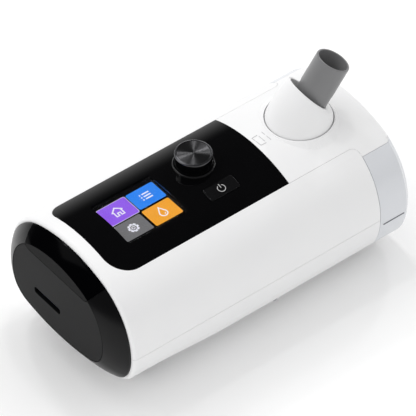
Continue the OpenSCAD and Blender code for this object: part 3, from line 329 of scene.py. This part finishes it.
def alongX(stations, flat=False):  # rings of the outline, each given as (station, inset)
    return throughRings([[(x, y, z) for y, z in section(inset, 0 if flat else liftAt(x))]
                         for x, inset in stations])


def prismUp(plan, low, high):
    return throughRings([[(x, y, low) for x, y in plan], [(x, y, high) for x, y in plan]])


def prismAlong(plan, x0, x1):
    return throughRings([[(x0, y, z) for y, z in plan], [(x1, y, z) for y, z in plan]])


def slab(x0, x1, low, high):  # cutter wider than the body
    return prismUp([(x0, -80), (x1, -80), (x1, 80), (x0, 80)], low, high)


def onCircle(radius, angle, middle=(0, 0)):  # angle in degrees
    a = math.radians(angle)
    return (middle[0] + radius * math.cos(a), middle[1] + radius * math.sin(a))


def arc(middle, radius, start, end, steps):
    return [onCircle(radius, start + (end - start) * k / steps, middle) for k in range(steps + 1)]


def circle(middle, radius, steps=96):
    return arc(middle, radius, 0, 360, steps)[:-1]


def quarterTurn(steps):
    return [math.radians(90 * k / steps) for k in range(steps + 1)]


def roundedRect(size, radius, middle=(0, 0)):
    points = []
    for quarter, (sx, sy) in enumerate(((1, 1), (-1, 1), (-1, -1), (1, -1))):
        corner = (middle[0] + sx * (size[0] / 2 - radius), middle[1] + sy * (size[1] / 2 - radius))
        points += arc(corner, radius, 90 * quarter, 90 * quarter + 90, 6)
    return points


def turned(profile, segments=96):  # closed profile of (radius, height), turned round Z
    points, faces, n = [], [], len(profile)
    for s in range(segments):
        points += [(*onCircle(r, 360 * s / segments), z) for r, z in profile]
    for s in range(segments):
        t = (s + 1) % segments
        faces += [(s * n + k, s * n + (k + 1) % n, t * n + (k + 1) % n, t * n + k) for k in range(n)]
    return points, faces


def joined(parts):  # several point and face lists as one
    points, faces = [], []
    for morePoints, moreFaces in parts:
        faces += [tuple(i + len(points) for i in face) for face in moreFaces]
        points += morePoints
    return points, faces


def carveWith(thing, cutters, operation="DIFFERENCE"):
    for cutter in cutters:
        step = thing.modifiers.new("carve", "BOOLEAN")
        step.operation, step.object, step.solver = operation, cutter, "EXACT"
    bpy.context.view_layer.update()
    seen = thing.evaluated_get(bpy.context.evaluated_depsgraph_get())
    solid = bpy.data.meshes.new_from_object(seen)  # the modifiers become mesh, so that the cutters can go
    thing.modifiers.clear()
    thing.data = solid
    cleaned(solid, lambda form: bmesh.ops.dissolve_degenerate(form, dist=0.0005 * mm, edges=form.edges))
    for cutter in cutters:
        bpy.data.objects.remove(cutter)
    return thing


def carve(thing, cuts, operation="DIFFERENCE"):
    return carveWith(thing, [makePiece("cutter", points, faces) for points, faces in cuts], operation)


edgeAngle = 33  # a sharper edge in degrees stays an edge


def smoothingTree():
    tree = bpy.data.node_groups.new("soften", "GeometryNodeTree")
    tree.interface.new_socket("Geometry", in_out="INPUT", socket_type="NodeSocketGeometry")
    tree.interface.new_socket("Geometry", in_out="OUTPUT", socket_type="NodeSocketGeometry")
    start = addNode(tree, "NodeGroupInput")
    edge = addNode(tree, "GeometryNodeInputMeshEdgeAngle")
    over = addNode(tree, "FunctionNodeCompare", {
        "A": edge.outputs["Unsigned Angle"], "B": math.radians(edgeAngle)}, operation="GREATER_THAN")
    faces = addNode(tree, "GeometryNodeSetShadeSmooth", {
        "Geometry": start.outputs["Geometry"], "Shade Smooth": True}, domain="FACE")
    sharp = addNode(tree, "GeometryNodeSetShadeSmooth", {
        "Geometry": faces.outputs["Geometry"], "Selection": over.outputs["Result"],
        "Shade Smooth": False}, domain="EDGE")
    addNode(tree, "NodeGroupOutput", {"Geometry": sharp.outputs["Geometry"]})
    return tree


soften = smoothingTree()


def dress(thing, edge=0.25, flatten=True, segments=2):
    if flatten:  # CAD facets first become whole faces again
        weld = thing.modifiers.new("weld", "WELD")
        weld.merge_threshold = 0.002 * mm
        flat = thing.modifiers.new("flatten", "DECIMATE")
        flat.decimate_type = "DISSOLVE"
        flat.angle_limit = math.radians(0.4)
    if edge:
        bevel = thing.modifiers.new("edge", "BEVEL")
        bevel.width, bevel.segments = edge * mm, segments
        bevel.limit_method, bevel.angle_limit = "ANGLE", math.radians(edgeAngle)
        bevel.use_clamp_overlap = True
    smooth = thing.modifiers.new("soften", "NODES")
    smooth.node_group = soften
    even = thing.modifiers.new("even", "WEIGHTED_NORMAL")
    even.keep_sharp, even.weight = True, 50


def standIn(thing, node, edge=0.2, segments=2):  # a made piece takes the place of a CAD node
    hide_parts(node)
    dress(thing, edge, flatten=False, segments=segments)


def trim(thing):  # a made piece that the CAD has no node for
    dress(thing, 0, flatten=False)


# Lower housing, with its underside drawn up towards the end cap. The hole in its rim is narrower than
# the hollow behind it, because the cap's seat plugs into it.
lower = dict(wall=2.5, rimRound=2.5, cavityFrom=-97.6, holeInset=5.7, holeTo=-96, tank=87.4, tray=14,
             jack=(-64, 27), jackR=4.8)
rimRings = [(body["rim"] + lower["rimRound"] * (1 - math.cos(t)), lower["rimRound"] * (1 - math.sin(t)))
            for t in quarterTurn(6)]
endRings = [(body["end"] - body["endRound"] * (1 - math.sin(t)), body["endRound"] * (1 - math.cos(t)))
            for t in quarterTurn(9)]
between = [(x, 0) for x in range(-96, -20, 4)] + [(30, 0)]
housing = makePiece("lower_housing", *alongX(rimRings + between + endRings), "base", whiteShell)
cavity = [lower["cavityFrom"], *range(-92, -20, 6), body["end"] - lower["wall"]]
carve(housing, [
    alongX([(x, lower["wall"]) for x in cavity]),
    alongX([(body["rim"] - 2, lower["holeInset"]), (lower["holeTo"], lower["holeInset"])]),
    slab(-120, 120, body["seam"], 120),
    slab(lower["tank"], 120, lower["tray"], 120),
    throughRings([[(x, y, z) for x, z in circle(lower["jack"], lower["jackR"], 32)] for y in (40, 80)]),
])
standIn(housing, "base_shell", edge=0.3)

# Feet: round pads that reach up into the housing
feet = dict(frontX=-76, rearX=84, y=30, r=7, frontTop=14.5, rearTop=7.4, sole=5.2)
pads = []
for x, top in ((feet["frontX"], feet["frontTop"]), (feet["rearX"], feet["rearTop"])):
    pad, faces = turned([(0.01, 0.5), (feet["sole"], 0.5), (feet["sole"] + 0.4, 0), (feet["r"] - 0.6, 0),
                         (feet["r"], 0.7), (feet["r"], top), (0.01, top)], 48)
    pads += [([(px + x, py + y, pz) for px, py, pz in pad], faces) for y in (-feet["y"], feet["y"])]
standIn(makePiece("foot_pads", *joined(pads), "base", rubber), "feet", edge=0)
print("stage: housing made")

# End cap: bezel with a gently domed bevel, gloss insert, matt face with the card slot
cap = dict(edgeInset=2.8, seatInset=5.9, edgeX=-103.2, seatX=-94, faceHalfW=44.5, faceHalfH=30.5, faceZ=54.3,
           dome=0.2, steps=14, skin=1.4, flange=-108.3, slot=(10, 44.5), slotSize=(25, 4.6), slotR=1.6,
           insertHalf=29, insertZ=74.5, insertR=5, insertLean=58, insertGap=0.15, faceGap=0.3)
bodyH = topZ - body["foot"] - body["lift"]
bodyMid = topZ - bodyH / 2


def faceRing(grow):  # the outline drawn down to the face's size
    wide, high = (cap["faceHalfW"] + grow) / halfW, (cap["faceHalfH"] + grow) / (bodyH / 2)
    return [(y * wide, cap["faceZ"] + (z - bodyMid) * high) for y, z in section(0, body["lift"])]


def bevelRing(k, push):  # from the cap's edge, k = 0, to the face, k = 1
    outer, inner = section(cap["edgeInset"] + push, body["lift"]), faceRing(-push)
    w = (1 - cap["dome"]) * k * (1 - k) + k * k
    v = (1 + cap["dome"]) * k * (1 - k) + k * k
    x = cap["edgeX"] + push + (body["face"] - cap["edgeX"]) * v
    return [(x, a[0] * (1 - w) + b[0] * w, a[1] * (1 - w) + b[1] * w) for a, b in zip(outer, inner)]


def capSolid(push, backRings):
    rings = [bevelRing(k / cap["steps"], push) for k in range(cap["steps"], -1, -1)]
    return throughRings(rings + [[(x, y, z) for y, z in section(inset, body["lift"])]
                                 for x, inset in backRings])


def wedge(grow):  # the insert's outline, drawn through the cap
    lean, radius, above = math.radians(cap["insertLean"]), cap["insertR"], topZ + 5
    centre = (cap["insertHalf"] - radius * math.tan(lean / 2), cap["insertZ"] + radius)
    right = [(centre[0] + (radius + grow) * math.sin(lean * k / 6),
              centre[1] - (radius + grow) * math.cos(lean * k / 6)) for k in range(7)]
    reach = (above - right[-1][1]) / math.sin(lean)
    right.append((right[-1][0] + reach * math.cos(lean), above))
    return prismAlong(right + [(-y, z) for y, z in reversed(right)], -116, -101.5 + grow)


capForm = capSolid(0, ((body["rim"], cap["edgeInset"]), (body["rim"], cap["seatInset"]),
                       (cap["seatX"], cap["seatInset"])))
capCore = capSolid(cap["skin"], ((cap["seatX"] + 4, cap["edgeInset"] + cap["skin"]),))
bezel = makePiece("cap_bezel", *capForm, "base", bevelBlack)
recess = carve(makePiece("cutter_recess", *wedge(cap["insertGap"])), [capCore])
faceHole = prismAlong(faceRing(0), body["face"] - 1, cap["flange"])
hole = carve(makePiece("cutter_face", *faceHole), [wedge(-0.05)])
carveWith(bezel, [recess, hole])
standIn(bezel, "end_cap_frame", edge=0.35)
insert = makePiece("cap_insert", *capForm, "base", insertBlack)
carve(insert, [wedge(0)], "INTERSECT")
carve(insert, [capCore])
standIn(insert, "end_cap_insert", edge=0.3)
faceSolid = prismAlong(faceRing(-cap["faceGap"]), body["face"] + 0.02, cap["flange"] - 0.1)
facePanel = makePiece("cap_face", *faceSolid, "base", faceBlack)
cardSlot = prismAlong(roundedRect(cap["slotSize"], cap["slotR"], cap["slot"]), -114, -104)
carve(facePanel, [wedge(cap["faceGap"] + 0.05), cardSlot])
standIn(facePanel, "end_cap_panel", edge=0.35)
print("stage: end cap made")

# Control panel: a plate on the crown with its window, knob hole and button hole
panel = dict(x0=-92.8, x1=35.6, half=35.3, frontR=15, rearR=9, thick=2.0, window=(-51.6, -1.1),
             windowSize=(43.8, 38.2), windowR=1.6, knob=(-3.1, 7.6), knobHole=13.15)
button = dict(middle=(-2.2, -17.9), size=(22.4, 9.6), radius=1.6, gap=0.3, low=-2.2, high=0.42)
ys = [panel["half"] * (k / 60 - 1) for k in range(121)]
plan = [(y, crownZ(y)) for y in ys] + [(y, crownZ(y, panel["thick"])) for y in reversed(ys)]
plate = makePiece("control_panel_plate", *prismAlong(plan, panel["x0"], panel["x1"]), "base", glossBlack)
buttonAt = Vector((*button["middle"], crownZ(button["middle"][1])))
buttonLean = Matrix.Rotation(math.asin(-button["middle"][1] / body["topR"]), 4, "X")


def cornerWaste(y, side, radius):  # what a round left corner of the panel loses
    x = panel["x0"]
    points = [(x - 2, y - 2 * side), (x - 2, y + radius * side)]
    points += [(x + radius * (1 - math.cos(t)), y + radius * side * (1 - math.sin(t)))
               for t in quarterTurn(16)]
    return prismUp(points + [(x + radius, y - 2 * side)], 70, 100)


holeSize = [side + 2 * button["gap"] for side in button["size"]]
holePoints, holeFaces = prismUp(roundedRect(holeSize, button["radius"] + button["gap"]), -6, 5)
carve(plate, [
    cornerWaste(-panel["half"], 1, panel["frontR"]),
    cornerWaste(panel["half"], -1, panel["rearR"]),
    prismUp(roundedRect(panel["windowSize"], panel["windowR"], panel["window"]), 70, 100),
    prismUp(circle(panel["knob"], panel["knobHole"]), 70, 100),
    ([tuple(Matrix.Translation(buttonAt) @ buttonLean @ Vector(p)) for p in holePoints], holeFaces),
])
standIn(plate, "control_panel", edge=0.25)

# Display: flat module with a lit screen, and the clear lens over it
display = dict(size=(47, 41.4), low=86.5, z=91.0, lensSize=(43.2, 37.6), lensR=1.4, lensLow=91.25,
               lensTop=91.9, tileR=1.1, frame=0.35)
screenZ = display["z"]
module = prismUp(roundedRect(display["size"], panel["windowR"], panel["window"]), display["low"], screenZ)
standIn(makePiece("display_panel", *module, "base", filmBlack), "display_module", edge=0.2)
lens = prismUp(roundedRect(display["lensSize"], display["lensR"], panel["window"]),
               display["lensLow"], display["lensTop"])
standIn(makePiece("display_glass", *lens, "base", clearAcrylic()), "display_lens", edge=0.15)
tiles = dict(
    home=dict(box=(-72.4, -2.2, -51.7, 13.4), upper="#a06bf6", lower="#9257ee"),
    menu=dict(box=(-50.7, -1.6, -30.7, 13.4), upper="#3d96ff", lower="#2484f4"),
    water=dict(box=(-51.3, -18.4, -31.2, -3.2), upper="#ffb039", lower="#faa728"),
    setup=dict(box=(-72.9, -18.2, -53.0, -3.5), upper="#797979", lower="#707070"),
)
for name, tile in tiles.items():
    x0, y0, x1, y1 = tile["box"]
    tile["middle"] = middle = ((x0 + x1) / 2, (y0 + y1) / 2)
    if name == "home":  # the chosen tile has a white frame
        grow = 2 * display["frame"]
        outer = roundedRect((x1 - x0 + grow, y1 - y0 + grow), display["tileR"] + 0.2, middle)
        trim(makePiece("tile_home_edge", *prismUp(outer, screenZ - 0.1, screenZ + 0.03), "base",
                       litField("lit_edge_white", "#e9e2f4", "#d9d0ea")))
    field = prismUp(roundedRect((x1 - x0, y1 - y0), display["tileR"], middle), screenZ - 0.1, screenZ + 0.06)
    trim(makePiece("tile_" + name, *field, "base",
                   litField("lit_field_" + name, tile["upper"], tile["lower"])))


def lineSolid(path, width, low, high, closed=False):  # flat line of even width through points
    n, sides = len(path), ([], [])
    for i, p in enumerate(path):
        back = Vector(p) - Vector(path[i - 1]) if closed or i else None
        ahead = Vector(path[(i + 1) % n]) - Vector(p) if closed or i < n - 1 else None
        d1, d2 = (back or ahead).normalized(), (ahead or back).normalized()
        n1, n2 = Vector((-d1.y, d1.x)), Vector((-d2.y, d2.x))
        across = (n1 + n2).normalized()
        reach = width / 2 / max(0.4, across.dot(n1))  # a mitre, kept short at sharp corners
        sides[0].append(Vector(p) + across * reach)
        sides[1].append(Vector(p) - across * reach)
    points = [(q.x, q.y, z) for z in (low, high) for side in sides for q in side]
    faces = []
    for i in range(n if closed else n - 1):
        j = (i + 1) % n
        faces += [(2 * n + i, 2 * n + j, 3 * n + j, 3 * n + i), (i, n + i, n + j, j),
                  (i, j, 2 * n + j, 2 * n + i), (n + i, 3 * n + i, 3 * n + j, n + j)]
    if not closed:
        faces += [(0, 2 * n, 3 * n, n), (n - 1, 2 * n - 1, 4 * n - 1, 3 * n - 1)]
    return points, faces


# Each icon is a list of lines: points round the tile's middle, width, closed or open
gear = [onCircle(r, 45 * k + d) for k in range(8) for r, d in ((2.4, -13), (3.2, -8), (3.2, 8), (2.4, 13))]
roof = [(-3.9, 0.4), (0, 3.7), (3.9, 0.4)]
walls = [(-2.8, 0.9), (-2.8, -3.3), (-0.9, -3.3), (-0.9, -1.0), (0.9, -1.0), (0.9, -3.3), (2.8, -3.3),
         (2.8, 0.9)]
rows = [[(x0, y), (x1, y)] for y in (2.2, 0, -2.2) for x0, x1 in ((-1.5, 3.6), (-3.5, -2.6))]
drop = [(0, 4.1)] + arc((0, -1.2), 2.5, 390, 150, 18)
icons = dict(
    home=[(roof, 0.85, False), (walls, 0.8, False)],
    menu=[(row, 0.95, False) for row in rows],
    water=[(drop, 0.75, True), (arc((0, -1.2), 1.1, 280, 350, 5), 0.5, False)],
    setup=[(gear, 0.8, True), (arc((0, 0), 1.0, 0, 340, 16), 0.5, False)],
)
iconWhite = litField("lit_icon_white", "#ffffff", "#f4f4ff")
for name, lines in icons.items():
    cx, cy = tiles[name]["middle"]
    made = []
    for path, width, closed in lines:
        placed = [(x + cx, y + cy) for x, y in path]
        made.append(lineSolid(placed, width, screenZ - 0.05, screenZ + 0.12, closed))
    trim(makePiece("icon_" + name, *joined(made), "base", iconWhite))
print("stage: panel and display made")

# Knob: spun disc in a black cap, over a satin ring in the panel
knob = dict(r=11.65, low=91.5, top=103.25, bore=3.3, ring=13.08, ringBore=4.1, ringDepth=4.2, segments=128)
knobPlace = Matrix.Translation(Vector((*panel["knob"], 0)) * mm)


def knobPiece(name, profile, rides, finish):
    return makePiece(name, *turned(profile, knob["segments"]), rides, finish, knobPlace)


r, top, low, bore = knob["r"], knob["top"], knob["low"], knob["bore"]
knobBody = knobPiece("knob_body", [
    (bore, low), (r - 0.4, low), (r, low + 0.4), (r, top - 1.5), (r - 0.12, top - 1.3),
    (r - 0.12, top - 1.05), (r - 1.2, top - 0.75), (0.01, top - 0.75), (0.01, low + 4),
    (bore, low + 4)], "knob", glossBlack)
standIn(knobBody, "knob_cap", edge=0.12)
brightEdge = knobPiece("knob_bright_edge", [
    (r - 1.35, top - 0.8), (r - 0.1, top - 1.05), (r, top - 0.85), (r - 0.15, top - 0.45),
    (r - 0.8, top - 0.02), (r - 1.1, top), (r - 1.35, top - 0.2)], "knob", edgeMetal)
trim(brightEdge)
spunDisc = knobPiece("knob_spun_disc", [
    (0.01, top - 0.75), (r - 1.45, top - 0.75), (r - 1.45, top - 0.22), (r - 1.6, top - 0.12),
    (5, top - 0.2), (0.9, top - 0.26), (0.01, top - 0.34)], "knob", discMetal)
standIn(spunDisc, "knob_top_disc", edge=0)
r, bore, rimZ = knob["ring"], knob["ringBore"], crownZ(panel["knob"][1])
floorZ = rimZ - knob["ringDepth"]
knobRing = knobPiece("knob_bezel", [
    (bore, floorZ), (r, floorZ), (r, rimZ + 0.75), (r - 0.35, rimZ + 1.15), (r - 0.95, rimZ + 1.2),
    (r - 1.2, rimZ + 0.9), (r - 1.2, floorZ + 1.2), (bore, floorZ + 1.2)], "base", ringBlack)
standIn(knobRing, "knob_base_ring", edge=0.15)

# Power button with its printed sign: a ring with a gap, and a line in it
powerSign = dict(ringR=2.5, start=122, end=418, line=((0, 0.3), (0, 3.3)), width=0.42, low=0.36, high=0.47)
keyPlace = Matrix.Translation(buttonAt * mm) @ buttonLean
keySolid = prismUp(roundedRect(button["size"], button["radius"]), button["low"], button["high"])
standIn(makePiece("power_key", *keySolid, "button", keyBlack, keyPlace), "power_button", edge=0.4, segments=3)
ringLine = arc((0, 0), powerSign["ringR"], powerSign["start"], powerSign["end"], 40)
sign = joined([lineSolid(line, powerSign["width"], powerSign["low"], powerSign["high"])
               for line in (ringLine, powerSign["line"])])
trim(makePiece("power_sign", *sign, "button", ink, keyPlace))
print("stage: controls made")

# Swivel: a leaning cone with a slanted mouth, a dark rubber gasket in it that also stands in for the shade of
# the hollow, and the connector tube
swivel = dict(x=72.3, r=20.9, neck=17, mouth=(6.1, -1.0, 16.5), mouthR=15.2, lean=48, yaw=-8, bulge=1.0,
              rings=10, shadeGasketR=13.25)
tube = dict(lean=29, yaw=-17, start=4, end=44.8, bore=9.6, outer=11, grip=21.4)


def leaning(piece):
    lean, yaw = math.radians(piece["lean"]), math.radians(piece["yaw"])
    return Matrix.Rotation(yaw, 3, "Z") @ Matrix.Rotation(lean, 3, "Y")


swivelBase = Vector((swivel["x"], 0, topZ))
mouthC = swivelBase + Vector(swivel["mouth"])
mouthTurn, tubeTurn = leaning(swivel), leaning(tube)
spins = [360 * k / 96 for k in range(96)]


def mouthRing(radius, back):
    return [tuple(mouthC + mouthTurn @ Vector((*onCircle(radius, a), -back))) for a in spins]


def levelRing(radius, z):
    return [(*onCircle(radius, a, (swivel["x"], 0)), z) for a in spins]


def coneRing(t):  # from the deck, t = 0, to the mouth, t = 1, with a slight swell between
    swell = swivel["bulge"] * 4 * t * (1 - t)
    return [tuple(Vector(p).lerp(Vector(q), t) + Vector((*onCircle(swell, a), 0)))
            for p, q, a in zip(levelRing(swivel["r"], topZ + 0.15), mouthRing(swivel["mouthR"], 0), spins)]


coneRings = [levelRing(swivel["neck"], topZ - 9.5), levelRing(swivel["neck"], topZ - 3)]
coneRings += [levelRing(swivel["r"] - 0.2, topZ - 3), levelRing(swivel["r"], topZ - 0.3)]
coneRings += [coneRing(k / swivel["rings"]) for k in range(swivel["rings"])] + [coneRing(0.985)]
coneRings += [mouthRing(radius, back) for radius, back in (
    (15.0, 0), (14.7, -0.02), (13.9, 0.05), (13.5, 0.4), (13.3, 3.5), (11.3, 5.0))]
cone = makePiece("swivel_housing", *throughRings(coneRings), "swivel", whiteShell)
# The dark rubber gasket fills the mouth's hollow: painted shade where the hollow lies in shadow
shadeGasketRings = [mouthRing(swivel["shadeGasketR"], back) for back in (3.4, 4.6)]
shadeGasket = makePiece("swivel_gasket_shade", *throughRings(shadeGasketRings), "swivel", rubber)
for thing in (cone, shadeGasket):  # both are open where the tube goes through
    points, faces = prismUp(circle((0, 0), tube["outer"] - 0.1), tube["start"], 60)
    carve(thing, [([tuple(tubeTurn @ Vector(p) + swivelBase) for p in points], faces)])
standIn(cone, "swivel_cone", edge=0)
trim(shadeGasket)
start, end, bore, outer = tube["start"], tube["end"], tube["bore"], tube["outer"]
pipe = turned([
    (bore, start), (outer - 0.2, start), (outer - 0.2, end - tube["grip"] - 0.4), (outer, end - tube["grip"]),
    (outer, end - 0.7), (outer - 0.15, end - 0.25), (outer - 0.5, end), (bore + 0.4, end),
    (bore + 0.1, end - 0.25), (bore, end - 0.8)])
tubePlace = Matrix.Translation(swivelBase * mm) @ tubeTurn.to_4x4()
standIn(makePiece("connector_pipe", *pipe, "swivel", greyTube, tubePlace), "connector_tube", edge=0)
print("stage: outlet made")

# CAD pieces that keep their solids get softened edges
for name in ("upper_shell", "deck_cover", "tank_body", "filter_cover", "dc_jack"):
    dress(nodes[name])

# Tank end: a raised line round the outline, coloured lighter as a painted highlight, and a level mark on each
# side
tankLine = dict(start=108.2, step=0.25, count=7, proud=0.16, depth=1.6, low=14.6, high=82.2)
levelMark = dict(middle=(98.5, 37.8), size=(16.6, 0.75), radius=0.3, reach=(59.8, 60.78))


def endInset(x):  # inset of the rounded end at a station
    s = 1 - (body["end"] - x) / body["endRound"]
    return body["endRound"] * (1 - math.sqrt(max(0, 1 - s * s))) if s > 0 else 0


lineRings = []
for k in range(tankLine["count"]):
    x = tankLine["start"] + tankLine["step"] * k
    proud = tankLine["proud"] if 0 < k < tankLine["count"] - 1 else 0
    lineRings.append((x, endInset(x) - proud))
endLine = makePiece("tank_end_line", *alongX(lineRings, flat=True), "tank", tankHighlightBand)
carve(endLine, [
    alongX([(107, tankLine["depth"]), (111, tankLine["depth"])], flat=True),
    slab(100, 120, -5, tankLine["low"]),
    slab(100, 120, tankLine["high"], 120),
])
trim(endLine)
# Each level mark is a thin dark bar: painted shade of the slit in the tank's side
markPlan = roundedRect(levelMark["size"], levelMark["radius"], levelMark["middle"])
marks = [throughRings([[(x, side * y, z) for x, z in markPlan] for y in levelMark["reach"]])
         for side in (-1, 1)]
trim(makePiece("tank_level_marks", *joined(marks), "tank", slitShadeMark))

# Faint embossed sign on the deck, slightly raised, its grey painted shade of the relief: a tray with a bar on
# each side of its opening
deckSign = dict(width=0.4, high=0.1, sunk=0.03,
                tray=[(42.6, -5.2), (38.6, -5.1), (38.0, 2.9), (42.2, 3.2)],
                bars=([(42.4, 1.8), (42.6, -3.8)], [(46.1, 3.7), (46.4, -4.9)]))
points, faces = joined([lineSolid(line, deckSign["width"], 0, deckSign["high"])
                        for line in (deckSign["tray"], *deckSign["bars"])])
points = [(x, y, crownZ(y) - deckSign["sunk"] + z) for x, y, z in points]
trim(makePiece("deck_sign", points, faces, "base", embossShadeInk))
print("stage: nodes dressed")

floorMesh = bpy.data.meshes.new("floor")
floorMesh.from_pydata([(-6, -6, 0), (6, -6, 0), (6, 6, 0), (-6, 6, 0)], [], [(0, 1, 2, 3)])
floor = bpy.data.objects.new("floor", floorMesh)
scene.collection.objects.link(floor)
# Plain white paper: matt, almost without a grain at this distance
floorMesh.materials.append(moulded("studio_paper", "#fbfbfb", "#fafafa", 0.9, grain=2, depth=0.0))

# Soft studio light. What glossy surfaces mirror is a dark room with a low bright wall at the far right.
studio = dict(diffuse=0.84, glossy=0.03, wall=0.75, wallWay=(0.62, 0.78, 0.0), wallEdges=(0.35, 0.95),
              wallHeight=(0.02, 0.42))
world = bpy.data.worlds.new("studio")
scene.world = world
world.use_nodes = True
tree = world.node_tree
background = tree.nodes["Background"]
background.inputs["Color"].default_value = (1, 1, 1, 1)
way = addNode(tree, "ShaderNodeTexCoord").outputs["Generated"]
along = addNode(tree, "ShaderNodeVectorMath", {0: way, 1: studio["wallWay"]}, operation="DOT_PRODUCT")
ahead = addNode(tree, "ShaderNodeMapRange", {
    "Value": along.outputs["Value"], "From Min": studio["wallEdges"][0], "From Max": studio["wallEdges"][1]},
    interpolation_type="SMOOTHSTEP")
height = addNode(tree, "ShaderNodeSeparateXYZ", {"Vector": way}).outputs["Z"]
lowBand = addNode(tree, "ShaderNodeMapRange", {
    "Value": height, "From Min": studio["wallHeight"][0], "From Max": studio["wallHeight"][1],
    "To Min": 1.0, "To Max": 0.0}, interpolation_type="SMOOTHSTEP")
wall = addNode(tree, "ShaderNodeMath", {0: ahead.outputs["Result"], 1: lowBand.outputs["Result"]},
               operation="MULTIPLY")
mirrored = addNode(tree, "ShaderNodeMapRange", {
    "Value": wall.outputs["Value"], "To Min": studio["glossy"], "To Max": studio["wall"]})
glossyRay = addNode(tree, "ShaderNodeLightPath").outputs["Is Glossy Ray"]
choice = addNode(tree, "ShaderNodeMix", {0: glossyRay, 2: studio["diffuse"], 3: mirrored.outputs["Result"]},
                 data_type="FLOAT")
tree.links.new(choice.outputs[0], background.inputs["Strength"])

# The three small lamps stand where the knob's spun rings turn their light to the camera
lights = dict(
    overhead=dict(place=(-0.35, 0.75, 1.3), size=(1.1, 0.8), power=4.6),
    side=dict(place=(-1.4, -0.3, 0.7), size=(0.5, 0.9), power=1.5, mirrored=False),
    lobeLeft=dict(place=(0.15, 0.78, 1.03), size=(0.07, 0.07), power=1.1),
    lobeRight=dict(place=(0.89, 0.45, 0.82), size=(0.07, 0.07), power=1.1),
    lobeBack=dict(place=(0.24, 0.34, 1.24), size=(0.07, 0.07), power=0.8),
)
for name, made in lights.items():
    lamp = bpy.data.lights.new(name, "AREA")
    lamp.shape = "RECTANGLE"
    lamp.size, lamp.size_y = made["size"]
    lamp.energy = made["power"]
    thing = bpy.data.objects.new(name, lamp)
    thing.location = made["place"]
    thing.visible_glossy = made.get("mirrored", True)
    aim = Vector((0, 0, 0.05)) - Vector(made["place"])
    thing.rotation_euler = aim.to_track_quat("-Z", "Y").to_euler()
    scene.collection.objects.link(thing)
print("stage: lit")
